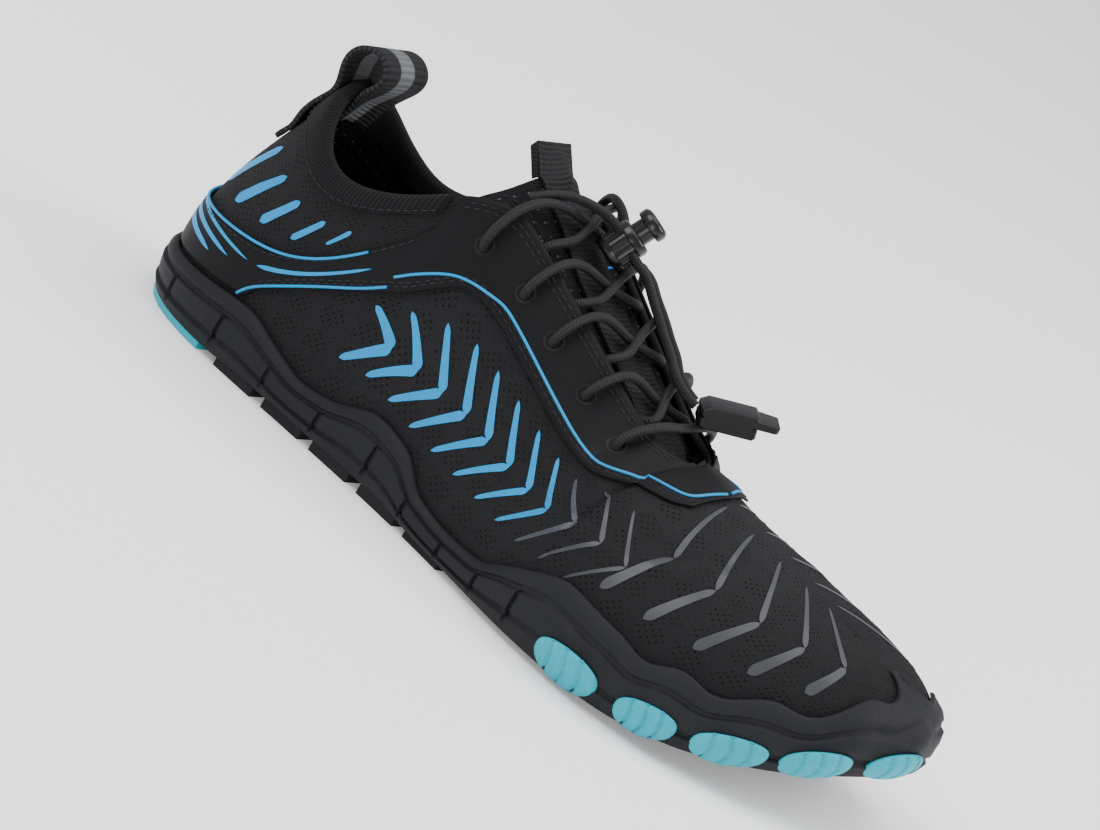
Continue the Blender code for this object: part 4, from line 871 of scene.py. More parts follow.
@lru_cache(maxsize=None)
def rubber_look(name, tint, grain_size, relief, roughness):
    """Moulded rubber with a fine grain and a few dusty patches."""
    colour = tuple(getattr(colours(), tint))
    rubber = Look(name, colour, roughness, Specular_IOR_Level=0.18)
    grain = rubber.noise(grain_size, 4.0)
    dust = rubber.noise(0.03, 3.0)
    rubber.blend(rubber.math("MULTIPLY", dust, grain), shade(colour, 0.8), shade(colour, 1.45))
    rubber.rough(dust, roughness - 0.08, roughness + 0.1)
    rubber.bump(grain, relief, 0.9)
    return rubber.material


@lru_cache(maxsize=None)
def print_look():
    """Print that fades from blue to grey along each stroke, thinner towards its end."""
    ink = Look("printed film", colours().blue, 0.5, Specular_IOR_Level=0.2)
    fade, _ = ink.weave()
    speck = ink.noise(0.0005)
    dither = ink.math("MULTIPLY", ink.math("SUBTRACT", speck, 0.5), 0.5)
    cut = ink.between(ink.math("ADD", fade, dither), 0.35, 0.65)
    ink.blend(cut, tuple(colours().blue), tuple(colours().grey))
    ink.rough(cut, 0.42, 0.30)
    ink.bump(speck, 0.00005)
    return ink.material


@lru_cache(maxsize=None)
def piping_look():
    """Smooth blue cord let into the seam."""
    cord_look = Look("piping", colours().blue, 0.45, Specular_IOR_Level=0.25)
    cord_look.bump(cord_look.noise(0.0008), 0.00006)
    return cord_look.material


@lru_cache(maxsize=None)
def thread_look():
    """Dark sewing thread."""
    thread = Look("thread", (0.018, 0.018, 0.02), 0.6, Specular_IOR_Level=0.2)
    u, v = thread.weave()
    thread.bump(thread.waves(v, 0.0004), 0.00006)
    return thread.material


@lru_cache(maxsize=None)
def plastic_look(name, roughness, coat):
    """Black moulded plastic with faint flow marks."""
    plastic = Look(name, (0.004, 0.004, 0.0045), roughness, Specular_IOR_Level=0.2, Coat_Weight=coat,
                   Coat_Roughness=0.12)
    marks = plastic.noise(0.004, 2.0)
    plastic.rough(marks, roughness - 0.06, roughness + 0.10)
    plastic.bump(plastic.noise(0.0007), 0.00004)
    return plastic.material


class Batch:
    """Vertices, faces and cloth directions of one object, gathered piece by piece."""

    def __init__(self):
        self.points, self.faces, self.uvs, self.looks = [], [], [], []

    def add(self, points, faces, uvs=None, look=0):
        """Adds one surface."""
        first = sum(len(part) for part in self.points)
        points = np.asarray(points, float).reshape(-1, 3)
        self.points.append(points)
        self.uvs.append(np.zeros((len(points), 2)) if uvs is None else np.asarray(uvs, float).reshape(-1, 2))
        self.faces += [tuple(int(i) + first for i in face) for face in faces]
        self.looks += [look] * len(faces)

    def make(self, name, materials, slot, body=SHOE_BODY, replaced=(), merge=0.0, outwards=False, sharp=40):
        """Makes the object, smooth apart from its sharp edges, riding on its body."""
        mesh = bpy.data.meshes.new(name)
        mesh.from_pydata(np.concatenate(self.points).tolist(), [], self.faces)
        layer = mesh.uv_layers.new(name="weave")
        corners = np.zeros(len(mesh.loops), int)
        mesh.loops.foreach_get("vertex_index", corners)
        layer.data.foreach_set("uv", np.concatenate(self.uvs)[corners].ravel())
        for material in materials:
            mesh.materials.append(material)
        mesh.polygons.foreach_set("material_index", self.looks)
        if merge or outwards:
            work = bmesh.new()
            work.from_mesh(mesh)
            if merge:
                bmesh.ops.remove_doubles(work, verts=work.verts, dist=merge)
            if outwards:
                bmesh.ops.recalc_face_normals(work, faces=work.faces)
            work.to_mesh(mesh)
            work.free()
        mesh.shade_smooth()
        mesh.set_sharp_from_angle(angle=math.radians(sharp))
        piece = bpy.data.objects.new(name, mesh)
        bpy.context.scene.collection.objects.link(piece)
        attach(piece, body)
        if replaced:
            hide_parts(*replaced)
        return piece


def cloth_ways(across, along):
    """Cloth directions of a grid, in metres."""
    return np.stack(np.broadcast_arrays(across, along), -1)


def wall(piece, thickness, outwards, inner_look=0):
    """Gives an open sheet its thickness."""
    step = piece.modifiers.new("Wall", "SOLIDIFY")
    step.thickness = thickness
    step.offset = 1 if outwards else -1
    step.use_quality_normals = True
    step.material_offset = inner_look
    return step


def tube(points, radius, sides=10):
    """Round tube with flat ends: points, faces and, as cloth directions, its angle and its length."""
    points = np.asarray(points, float)
    ways = unit(np.gradient(points, axis=0))
    side = unit(np.cross(ways[0], (0.13, 0.31, 0.94)))
    run = np.concatenate([[0], np.cumsum(np.linalg.norm(np.diff(points, axis=0), axis=1))])
    rings, uvs = [], []
    for point, way, length in zip(points, ways, run):
        side = unit(side - way * (side @ way))
        up = np.cross(way, side)
        for k in range(sides):
            turn = 2 * math.pi * k / sides
            rings.append(point + radius * (math.cos(turn) * side + math.sin(turn) * up))
            uvs.append((turn, length))
    count = len(points)
    faces = grid_faces(count, sides, closed_columns=True)
    faces += [tuple(range(sides)), tuple(range((count - 1) * sides, count * sides))[::-1]]
    return np.array(rings), faces, np.array(uvs)


def across_skin(place, height, ways):
    """Changes of place and height share that move a point of the skin along a way."""
    small = 1e-3
    base = last_surface(place, height)
    along = (last_surface(place + small, height) - base) / small
    upward = last_surface(place, np.minimum(height + small, 1)) - last_surface(place, height - small)
    upward = upward / small / np.where(height + small > 1, 1, 2)[..., None]
    aa, bb, ab = (along * along).sum(-1), (upward * upward).sum(-1), (along * upward).sum(-1)
    aw, bw = (along * ways).sum(-1), (upward * ways).sum(-1)
    det = aa * bb - ab * ab
    return (aw * bb - bw * ab) / det, (bw * aa - aw * ab) / det


def add_stroke(batch, side, row, lift, columns=4, samples=26):
    """Tapering printed stroke on one side of the skin."""
    place, height, to_place, to_height, bow, width, to_width, fade, to_fade = row
    t = np.linspace(0, 1, samples)
    places = side * (place + (to_place - place) * t)
    heights = height + (to_height - height) * t + bow * 4 * t * (1 - t)
    centre = skin(places, heights, lift)
    ways = unit(np.cross(unit(np.gradient(centre, axis=0)), last_normal(places, heights)))
    taper = np.minimum(1, np.minimum(t, 1 - t) / 0.10) ** 0.6
    half = 0.0005 * (width + (to_width - width) * t) * np.maximum(taper, 0.04)
    d_place, d_height = across_skin(places, heights, ways)
    grid, uvs = [], []
    for share in np.linspace(-1, 1, columns):
        reach = half * share
        grid.append(skin(places + d_place * reach, np.clip(heights + d_height * reach, 0, 1), lift))
        uvs.append(np.stack([fade + (to_fade - fade) * t, t], -1))
    batch.add(np.array(grid).reshape(-1, 3), grid_faces(columns, samples), np.array(uvs).reshape(-1, 2))


def on_skin(side, line, lift, count):
    """Smooth line of points on one side of the skin, given as places and height shares."""
    line = np.asarray(line, float)
    steps = np.linspace(0, 1, len(line))
    at = np.linspace(0, 1, count)
    return skin(side * natural_spline(steps, line[:, 0], at), natural_spline(steps, line[:, 1], at), lift)


def add_stitches(batch, points):
    """Row of stitches along a line of points, each a small rounded dash."""
    points = np.asarray(points, float)
    run = np.concatenate([[0], np.cumsum(np.linalg.norm(np.diff(points, axis=0), axis=1))])
    pitch = sizes().stitch + sizes().stitch_gap
    for k in range(int(run[-1] / pitch)):
        at = k * pitch + np.linspace(0, sizes().stitch, 4)
        line = np.stack([np.interp(at, run, points[:, i]) for i in range(3)], -1)
        ring, faces, uvs = tube(line, sizes().thread / 2, THREAD_SIDES)
        ring = ring.reshape(4, THREAD_SIDES, 3)
        for end in (0, 3):
            ring[end] = line[end] + (ring[end] - line[end]) * 0.35
        batch.add(ring, faces, uvs)


def overlay_edges(place):
    """Low and high edge of the bonded overlay, as height shares; it stops above the rubber."""
    at = np.abs(place)
    low = steady_curve(OVERLAY[:, 0], OVERLAY[:, 1], at)
    high = steady_curve(OVERLAY[:, 0], OVERLAY[:, 2], at)
    rubber = height_at(place, sidewall_top(place) + SIDEWALL_LIP)
    return np.maximum(low, rubber), high


def film_top():
    """Height of the overlay's face above the skin."""
    return OVERLAY_GAP + OVERLAY_THICKNESS


def over_tongue(x, y, cover):
    """Middle of a lace that lies over the tongue, with a cover between them."""
    step = tongue_step_at(x)
    return tongue_point(step, y) + tongue_out(step) * (cover + LACE_SLACK + LACE_DIAMETER / 2)


def crossing_route(number, side):
    """Route of one lace from its eyelet over the webbing to the far edge, with both ends tucked in."""
    ride = film_top() + SEAM_GAP + LACE_DIAMETER / 2
    place, height = EYELETS[number]
    dive = place + LACE_DIVE * (EYELETS[number + 1][0] - place)
    hole = skin(side * place, height - 0.02, -0.0012)
    lifted = skin(side * place, height + 0.015, ride)
    near_edge = skin(side * (0.93 * place + 0.07 * dive), 1.0, ride + LACE_SLACK)
    far = skin(-side * dive, 1.0, 0.0)
    end = over_tongue(far[0], far[1] + side * LACE_DIAMETER, 0.0)
    cover = 2 * SEAM_GAP + WEBBING_THICKNESS
    middle = over_tongue((near_edge[0] + far[0]) / 2, 0.0, cover)
    middle = middle + tongue_out(tongue_step_at(middle[0])) * (0.5 * LACE_DIAMETER if side > 0 else 0.0)
    beside = -side * (WEBBING_WIDTH / 2 + LACE_DIAMETER / 2)
    shoulder = over_tongue(middle[0] + (end[0] - middle[0]) * beside / end[1], beside, cover)
    under = skin(-side * dive, 0.955, -(UPPER_WALL + LACE_DIAMETER * 0.42))
    return smooth_route([hole, lifted, near_edge, middle, shoulder, end, under], 60)


def bar_route():
    """Route of the straight bar at the toe end, from hole to hole."""
    ride = film_top() + SEAM_GAP + LACE_DIAMETER / 2
    place, height = EYELETS[-1]
    edges = [skin(side * place, 1.0, ride + LACE_SLACK) for side in (-1, 1)]
    return smooth_route([skin(-place, height - 0.02, -0.0012), skin(-place, height + 0.015, ride), edges[0],
                         (edges[0] + edges[1]) / 2, edges[1], skin(place, height + 0.015, ride),
                         skin(place, height - 0.02, -0.0012)], 60)


def smooth_route(points, count):
    """Evenly spaced points on the smooth curve through a route's points."""
    points = np.asarray(points, float)
    run = np.concatenate([[0], np.cumsum(np.linalg.norm(np.diff(points, axis=0), axis=1))])
    at = np.linspace(0, run[-1], count)
    return np.stack([natural_spline(run, points[:, k], at) for k in range(3)], -1)


def lock_placing():
    """Where the cord lock rests and the way it points."""
    step = tongue_step_at(at_share(LOCK_ALONG))
    centre = tongue_point(step, 0) + tongue_out(step) * LOCK_REST + np.array([0, LOCK_SIDE, 0])
    return Matrix.Translation(Vector(centre)) @ Vector(LOCK_AXIS).to_track_quat("Z", "Y").to_matrix().to_4x4()


def placed(points, placing):
    """Points moved by a placing matrix."""
    turn = np.array(placing)
    points = np.asarray(points, float).reshape(-1, 3)
    return points @ turn[:3, :3].T + turn[:3, 3]


def turned(profile, segments=56, flutes=0, flute_depth=0.0):
    """Turned solid through a list of radius, height and 1 where the flutes are cut."""
    points, uvs = [], []
    for k in range(segments):
        turn = 2 * math.pi * k / segments
        flute = flute_depth * 0.5 * (1 - math.cos(flutes * turn)) if flutes else 0.0
        for radius, z, cut in profile:
            reach = radius - flute * cut
            points.append((reach * math.cos(turn), reach * math.sin(turn), z))
            uvs.append((turn * radius, z))
    return points, grid_faces(segments, len(profile), closed_rows=True), uvs


def quarter_chevrons():
    """Nested chevrons of the quarter, which narrow and fade to grey towards the toe."""
    rows = []
    for number in range(QUARTER_CHEVRONS):
        t = number / (QUARTER_CHEVRONS - 1)
        grown = float(smooth_step(0.0, 0.35, t))
        back = QUARTER_FROM - QUARTER_STEP * number
        middle = QUARTER_MIDDLE[0] + (QUARTER_MIDDLE[1] - QUARTER_MIDDLE[0]) * grown
        span = QUARTER_SPAN[0] + (QUARTER_SPAN[1] - QUARTER_SPAN[0]) * grown
        width = QUARTER_WIDTH[0] + (QUARTER_WIDTH[1] - QUARTER_WIDTH[0]) * t
        fade = min(1.0, max(0.0, (GREY_FROM - back) / (GREY_FROM - GREY_TO)))
        for arm in (-span, span):
            rows.append((back, middle + arm, back - QUARTER_POINT, middle, 0.0, 0.5 * width, width, fade, fade))
    return rows


def toe_chevrons():
    """Grey chevrons over the toe box."""
    rows = []
    for number in range(TOE_CHEVRONS):
        place = TOE_FROM - TOE_STEP * number
        low = TOE_LOW + 0.01 * number
        rows.append((place, low, place - TOE_POINT, TOE_MIDDLE, 0.0, 3.4, 2.0, 1, 1))
        rows.append((place, TOE_HIGH, place - TOE_POINT, TOE_MIDDLE, 0.0, 1.0, 2.0, 1, 1))
    return rows


class ShoeOperator:
    """Shared manner of the shoe's operators."""
    bl_options = {"REGISTER", "UNDO"}

    def execute(self, context):
        """Makes the piece."""
        self.build()
        return {"FINISHED"}


class SHOE_OT_stage(ShoeOperator, bpy.types.Operator):
    """Camera, pale floor and soft lights"""
    bl_idname = "shoe.stage"
    bl_label = "Stage"

    def build(self):
        right, back = Vector(CAMERA_RIGHT).normalized(), Vector(CAMERA_BACK).normalized()
        up = back.cross(right).normalized()
        turn = Matrix((up.cross(back).normalized(), up, back)).transposed().to_4x4()
        data = bpy.data.cameras.new("camera")
        data.sensor_width = 36.0
        data.clip_end = 20.0
        data.lens = data.sensor_width * CAMERA_REACH / FRAME_WIDTH
        camera = bpy.data.objects.new("camera", data)
        camera.matrix_world = Matrix.Translation(Vector(CAMERA_AIM) + back * CAMERA_REACH) @ turn
        bpy.context.scene.collection.objects.link(camera)
        bpy.context.scene.camera = camera
        floor_mesh = bpy.data.meshes.new("floor")
        half = FLOOR_HALF
        floor_mesh.from_pydata([(-half, -half, 0), (half, -half, 0), (half, half, 0), (-half, half, 0)], [],
                               [(0, 1, 2, 3)])
        floor = bpy.data.objects.new("floor", floor_mesh)
        bpy.context.scene.collection.objects.link(floor)
        paper = Look("pale floor", (0.90, 0.905, 0.91), 0.8, Specular_IOR_Level=0.1,
                     Emission_Color=(1, 1, 1, 1), Emission_Strength=0.22)
        paper.rough(paper.noise(0.4), 0.70, 0.80)
        floor_mesh.materials.append(paper.material)
        world = bpy.data.worlds.new("studio")
        world.use_nodes = True
        world.node_tree.nodes["Background"].inputs[0].default_value = (0.93, 0.95, 1.0, 1)
        world.node_tree.nodes["Background"].inputs[1].default_value = 0.75
        bpy.context.scene.world = world
        lamps = [
            # name, position, size, watts
            ("key light", (-0.35, -0.75, 1.25), 0.9, 17.0),
            ("top light", (0.25, 0.25, 1.4), 1.1, 13.0),
            ("rim light", (0.95, 0.55, 0.7), 0.6, 9.0),
            ("low light", (0.75, -0.95, 0.25), 0.5, 4.0),
        ]
        for name, position, size, watts in lamps:
            lamp = bpy.data.lights.new(name, "AREA")
            lamp.size = size
            lamp.energy = watts
            holder = bpy.data.objects.new(name, lamp)
            aim = Vector((0.1, 0, 0.03)) - Vector(position)
            facing = aim.to_track_quat("-Z", "Y").to_matrix().to_4x4()
            holder.matrix_world = Matrix.Translation(position) @ facing
            bpy.context.scene.collection.objects.link(holder)


class SHOE_OT_free_lace(ShoeOperator, bpy.types.Operator):
    """Lace ends from the top eyelets to the cord lock, and its tails to the end clip"""
    bl_idname = "shoe.free_lace"
    bl_label = "Free lace"

    def build(self):
        made = bpy.data.objects
        lock, clip = [made["fluted_lock"], made["press_button"]], [made["hinged_clip"]]
        pairs = (("lace_top_near", "lace_tail_a"), ("lace_top_far", "lace_tail_b"))
        for (top, tail), held in zip(pairs, (lock, clip)):
            knots = TOP_STRANDS[top] + TAIL_STRANDS[tail]
            route = smooth_route(knots, 110)
            batch = Batch()
            batch.add(*tube(route, LACE_DIAMETER / 2, LACE_SIDES))
            lace = batch.make(top.replace("lace_top", "braided_lace"), [lace_look()], "lace",
                              replaced=(top, tail))


class SHOE_OT_lacing(ShoeOperator, bpy.types.Operator):
    """Braided lace over the tongue: the bar at the toe end and the crossings above it"""
    bl_idname = "shoe.lacing"
    bl_label = "Lacing"

    def build(self):
        batch = Batch()
        batch.add(*tube(bar_route(), LACE_DIAMETER / 2, LACE_SIDES))
        batch.make("braided_bar", [lace_look()], "lace", replaced=("lace_bar",))
        for number in range(len(EYELETS) - 1):
            batch = Batch()
            for side in (-1, 1):
                batch.add(*tube(crossing_route(number, side), LACE_DIAMETER / 2, LACE_SIDES))
            batch.make(f"braided_cross_{number + 1}", [lace_look()], "lace",
                       replaced=(f"lace_cross_{number + 1}",))


class SHOE_OT_upper(ShoeOperator, bpy.types.Operator):
    """Knitted upper with its mesh lining"""
    bl_idname = "shoe.upper"
    bl_label = "Knitted upper"

    def build(self):
        half = fine_places(sizes().columns)
        places = np.concatenate([-half[::-1], half[1:]])
        heights = np.linspace(0, 1, 64)
        grid = skin(places[:, None], heights[None, :], 0.0)
        uvs = cloth_ways(places[:, None] * HALF_OUTLINE, heights[None, :] * INSTEP_RISE)
        batch = Batch()
        batch.add(grid, grid_faces(len(places), len(heights)), uvs)
        upper = batch.make("knitted_upper", [knit_look(), lining_look()], "knit", replaced=("upper",),
                           merge=2e-6)
        wall(upper, UPPER_WALL, False, 1)


class SHOE_OT_prints(ShoeOperator, bpy.types.Operator):
    """Printed chevrons and stripes on the quarters, ankle, heel counter and toe"""
    bl_idname = "shoe.prints"
    bl_label = "Prints"

    def build(self):
        knit = Batch()
        rows = quarter_chevrons() + toe_chevrons()
        rows += [(*line, 0.0, 5.0 - number, 3.0 - 0.4 * number, 0, 0) for number, line in enumerate(ANKLE_STRIPES)]
        for side in (-1, 1):
            for number, row in enumerate(rows):
                add_stroke(knit, side, row, sizes().print_rise * (1 + 0.12 * (number % 4)))
        knit.make("knit_print", [print_look()], "knit")
        film = Batch()
        for side in (-1, 1):
            for *line, width, to_width in COUNTER_STRIPES:
                row = (*line, 0.0, width, to_width, 0, 0)
                add_stroke(film, side, row, film_top() + sizes().print_rise, 7, 40)
        film.make("counter_print", [print_look()], "bonded_film")


class SHOE_OT_overlay(ShoeOperator, bpy.types.Operator):
    """Bonded eyestay, quarter band and heel counter with piping, stitches and punched eyelets"""
    bl_idname = "shoe.overlay"
    bl_label = "Bonded overlay"

    def build(self):
        half = fine_places(sizes().columns, OVERLAY[0, 0], 1.0)
        places = np.concatenate([-half, half[-2::-1]])
        low, high = overlay_edges(places)
        steps = np.linspace(0, 1, 18)
        heights = low[:, None] + (high - low)[:, None] * steps[None, :]
        grid = skin(places[:, None], heights, OVERLAY_GAP)
        uvs = cloth_ways(places[:, None] * HALF_OUTLINE, heights * INSTEP_RISE)
        batch = Batch()
        faces = [face[::-1] for face in grid_faces(len(places), len(steps))]
        batch.add(grid, faces, uvs)
        overlay = batch.make("bonded_overlay", [film_look()], "bonded_film", replaced=("quarter_overlay",),
                             merge=5e-6)
        wall(overlay, OVERLAY_THICKNESS, True)
        self.trim()

    def trim(self):
        """Piping, stitches and eyelets on the overlay's face."""
        pipes, seams, holes = Batch(), Batch(), Batch()
        radius = sizes().piping / 2
        top = film_top()
        for side in (-1, 1):
            for line in (UPPER_PIPING, LOWER_PIPING, EYESTAY_PIPING):
                pipes.add(*tube(on_skin(side, line, top + 0.2 * radius, 120), radius, PIPING_SIDES))
            half = fine_places(260, OVERLAY[0, 0] + 0.004, 0.822)
            low, high = overlay_edges(side * half)
            for inset in (0.0022, 0.0036):
                share = inset / INSTEP_RISE
                add_stitches(seams, skin(side * half, np.minimum(low + share, 0.995), top + 0.0001))
            half = fine_places(160, THROAT_PLACE + 0.012, 0.688)
            for inset in (0.0020, 0.0034):
                add_stitches(seams, skin(side * half, 1 - inset / INSTEP_RISE * 1.4, top + 0.0001))
            half = fine_places(120, 0.705, 0.996)
            _, high = overlay_edges(side * half)
            add_stitches(seams, skin(side * half, high - 0.020, top + 0.0001))
            for place, height in EYELETS:
                centre = Vector(skin(side * place, height, top))
                way = Vector(last_normal(side * place, height))
                placing = Matrix.Translation(centre) @ way.to_track_quat("Z", "Y").to_matrix().to_4x4()
                r = EYELET_DIAMETER / 2
                rim = [(r * 1.50, 0.0, 0), (r * 1.42, 0.00022, 0), (r * 1.18, 0.00026, 0),
                       (r * 1.0, 0.0001, 0), (r * 0.92, -0.0006, 0), (0.0, -0.0007, 0)]
                points, faces, uvs = turned(rim, 28)
                holes.add(placed(points, placing), faces, uvs)
        pipes.make("piping", [piping_look()], "bonded_film")
        seams.make("overlay_stitches", [thread_look()], "bonded_film")
        holes.make("eyelets", [plastic_look("eyelet", 0.5, 0.0)], "bonded_film", merge=1e-6)


class SHOE_OT_cuff(ShoeOperator, bpy.types.Operator):
    """Soft binding over the collar's edge"""
    bl_idname = "shoe.cuff"
    bl_label = "Collar cuff"

    def build(self):
        half = fine_places(110, CUFF_LOW[0, 0], 1.0)
        inside = -(UPPER_WALL + SEAM_GAP)
        lining = inside - CUFF_THICKNESS
        face = SEAM_GAP + CUFF_THICKNESS
        places = np.concatenate([-half, half[-2::-1]])
        low = steady_curve(CUFF_LOW[:, 0], CUFF_LOW[:, 1], np.abs(places))
        middle = (1 + low) / 2
        up = unit(last_surface(places, 1.0) - last_surface(places, 0.97))
        rim = [(SEAM_GAP, SEAM_GAP), (inside, SEAM_GAP), (lining * 0.97, 0.5 * CUFF_THICKNESS),
               (-UPPER_WALL / 2, face), (face * 0.9, 0.5 * CUFF_THICKNESS)]
        tops = [skin(places, 1.0, offset) + up * rise for offset, rise in rim]
        rings = np.stack([skin(places, low, SEAM_GAP), skin(places, middle, SEAM_GAP), tops[0], tops[1],
                          skin(places, middle, inside), skin(places, low, inside), skin(places, low, lining),
                          skin(places, middle, lining), tops[2], tops[3], tops[4],
                          skin(places, middle, face * 1.15), skin(places, low, face)], axis=1)
        uvs = cloth_ways(places[:, None] * HALF_OUTLINE * 0.6, np.arange(13)[None, :] * 0.001)
        count = len(places)
        batch = Batch()
        faces = grid_faces(count, 13, closed_columns=True)
        faces += [tuple(range(13)), tuple(range((count - 1) * 13, count * 13))[::-1]]
        batch.add(rings, faces, uvs)
        cuff = batch.make("soft_cuff", [cuff_look()], "cuff_cloth", replaced=("collar_cuff",), outwards=True,
                          sharp=80)
        cuff.modifiers.new("Soft", "SUBSURF").levels = 1
        cuff.modifiers["Soft"].render_levels = 1
        seams = Batch()
        half = fine_places(150, CUFF_LOW[0, 0] + 0.003, 1.0)
        line = np.concatenate([-half, half[-2::-1]])
        low = steady_curve(CUFF_LOW[:, 0], CUFF_LOW[:, 1], np.abs(line))
        add_stitches(seams, skin(line, low + 0.016, face + 0.0001))
        seams.make("cuff_stitches", [thread_look()], "cuff_cloth")


class SHOE_OT_tongue(ShoeOperator, bpy.types.Operator):
    """Padded tongue with a stitched edge and its woven strap"""
    bl_idname = "shoe.tongue"
    bl_label = "Tongue"

    def build(self):
        steps = np.linspace(0, 1, 90)
        grid = np.array([smooth_route(tongue_row(float(step)), 41) for step in steps])
        run = np.concatenate([[0], np.cumsum(np.linalg.norm(np.diff(grid[:, 20], axis=0), axis=1))])
        uvs = cloth_ways(grid[:, :, 1], run[:, None])
        batch = Batch()
        batch.add(grid, grid_faces(len(steps), 41), uvs)
        tongue = batch.make("padded_tongue", [knit_look("tongue knit", 0.0016, 0.75), lining_look()], "knit",
                            replaced=("tongue",))
        wall(tongue, TONGUE_THICKNESS, self.faces_down(grid), 1)
        seams = Batch()
        lift = 0.0002
        for inset in (2, 4):
            for column in (5 + inset, 35 - inset):
                add_stitches(seams, grid[52:88, column] + np.array([lift, 0, lift]) * 1.2)
        seams.make("tongue_stitches", [thread_look()], "knit")
        self.strap()
        self.mark()

    def faces_down(self, grid):
        """True if the sheet's faces look into the shoe."""
        return float(np.cross(grid[1, 20] - grid[0, 20], grid[0, 21] - grid[0, 20])[2]) < 0

    def strap(self):
        """Woven strap up the tongue, doubled over into a pull tab at the top."""
        steps = np.linspace(WEBBING_START, 1, 110)
        out = tongue_out(1)
        run = np.array([-out[2], 0, out[0]])
        columns = np.linspace(-0.5, 0.5, 15)
        rings, uvs = [], []
        for share in columns:
            y = share * WEBBING_WIDTH
            edge = 1 - 0.35 * max(0.0, abs(share) * 2 - 0.86) / 0.14
            under = [tongue_point(float(step), y) + tongue_out(float(step)) * 2 * SEAM_GAP for step in steps]
            over = [tongue_point(float(step), y)
                    + tongue_out(float(step)) * (2 * SEAM_GAP + WEBBING_THICKNESS * edge) for step in steps]
            top = tongue_point(1, y)
            foot = top + run * 2 * SEAM_GAP
            tip = tongue_point(1, 0) * np.array([1, 0, 1]) + np.array([0, y, 0]) + run * PULL_TAB_LENGTH
            under += [foot + out * SEAM_GAP, foot - out * WEBBING_THICKNESS]
            over += [tip + out * (SEAM_GAP + WEBBING_THICKNESS), tip - out * WEBBING_THICKNESS * 0.9]
            ring = np.array(under + over[::-1])
            rings.append(ring)
            length = np.concatenate([[0], np.cumsum(np.linalg.norm(np.diff(ring, axis=0), axis=1))])
            uvs.append(np.stack([np.full(len(ring), y), length], -1))
        size = len(rings[0])
        batch = Batch()
        faces = grid_faces(len(columns), size, closed_columns=True)
        for first in (0, (len(columns) - 1) * size):
            faces += [(first + i, first + i + 1, first + size - 2 - i, first + size - 1 - i)
                      for i in range(size // 2 - 1)]
        batch.add(rings, faces, uvs)
        batch.make("woven_strap", [webbing_look()], "webbing", replaced=("tongue_webbing",), outwards=True)

    def mark(self):
        """Short blue line across the tongue beside the strap."""
        batch = Batch()
        for step, first, last in ((0.70, -0.0185, -0.0100), (0.70, 0.0100, 0.0185)):
            line = [tongue_point(step + 0.001 * k, y) + tongue_out(step) * 0.0004
                    for k, y in enumerate(np.linspace(first, last, 12))]
            batch.add(*tube(line, sizes().piping / 2, PIPING_SIDES))
        batch.make("tongue_mark", [piping_look()], "knit")


class SHOE_OT_heel_loop(ShoeOperator, bpy.types.Operator):
    """Pull loop behind the collar with a pale stripe"""
    bl_idname = "shoe.heel_loop"
    bl_label = "Heel pull loop"

    def build(self):
        cover = SEAM_GAP * 2 + CUFF_THICKNESS
        spreads = np.linspace(-1, 1, 13) * LOOP_SPREAD

        def strap_row(height, offset):
            return [skin(1 - spread if spread >= 0 else -(1 + spread), height, offset) for spread in spreads]

        rows = [strap_row(height, cover if covered else SEAM_GAP * 1.6) for height, covered in LOOP_BACK]
        edge = skin(1.0, 1.0, 0.0)
        across = [point[1] for point in rows[-1]]
        for ahead, above in LOOP_OVER:
            rows.append([edge + np.array([ahead * LOOP_RISE, y, above * LOOP_RISE]) for y in across])
        rows += [strap_row(height, -(UPPER_WALL + cover)) for height in LOOP_INSIDE]
        rows = np.array(rows)
        grid = np.array([smooth_route(rows[:, k], 90) for k in range(len(spreads))]).transpose(1, 0, 2)
        run = np.concatenate([[0], np.cumsum(np.linalg.norm(np.diff(grid[:, 6], axis=0), axis=1))])
        uvs = cloth_ways(grid[:, :, 1], run[:, None])
        batch = Batch()
        batch.add(grid, grid_faces(len(grid), len(spreads)), uvs)
        loop = batch.make("woven_heel_loop", [webbing_look(0.0035)], "webbing", replaced=("heel_pull_loop",))
        wall(loop, HEEL_LOOP_THICKNESS, True)


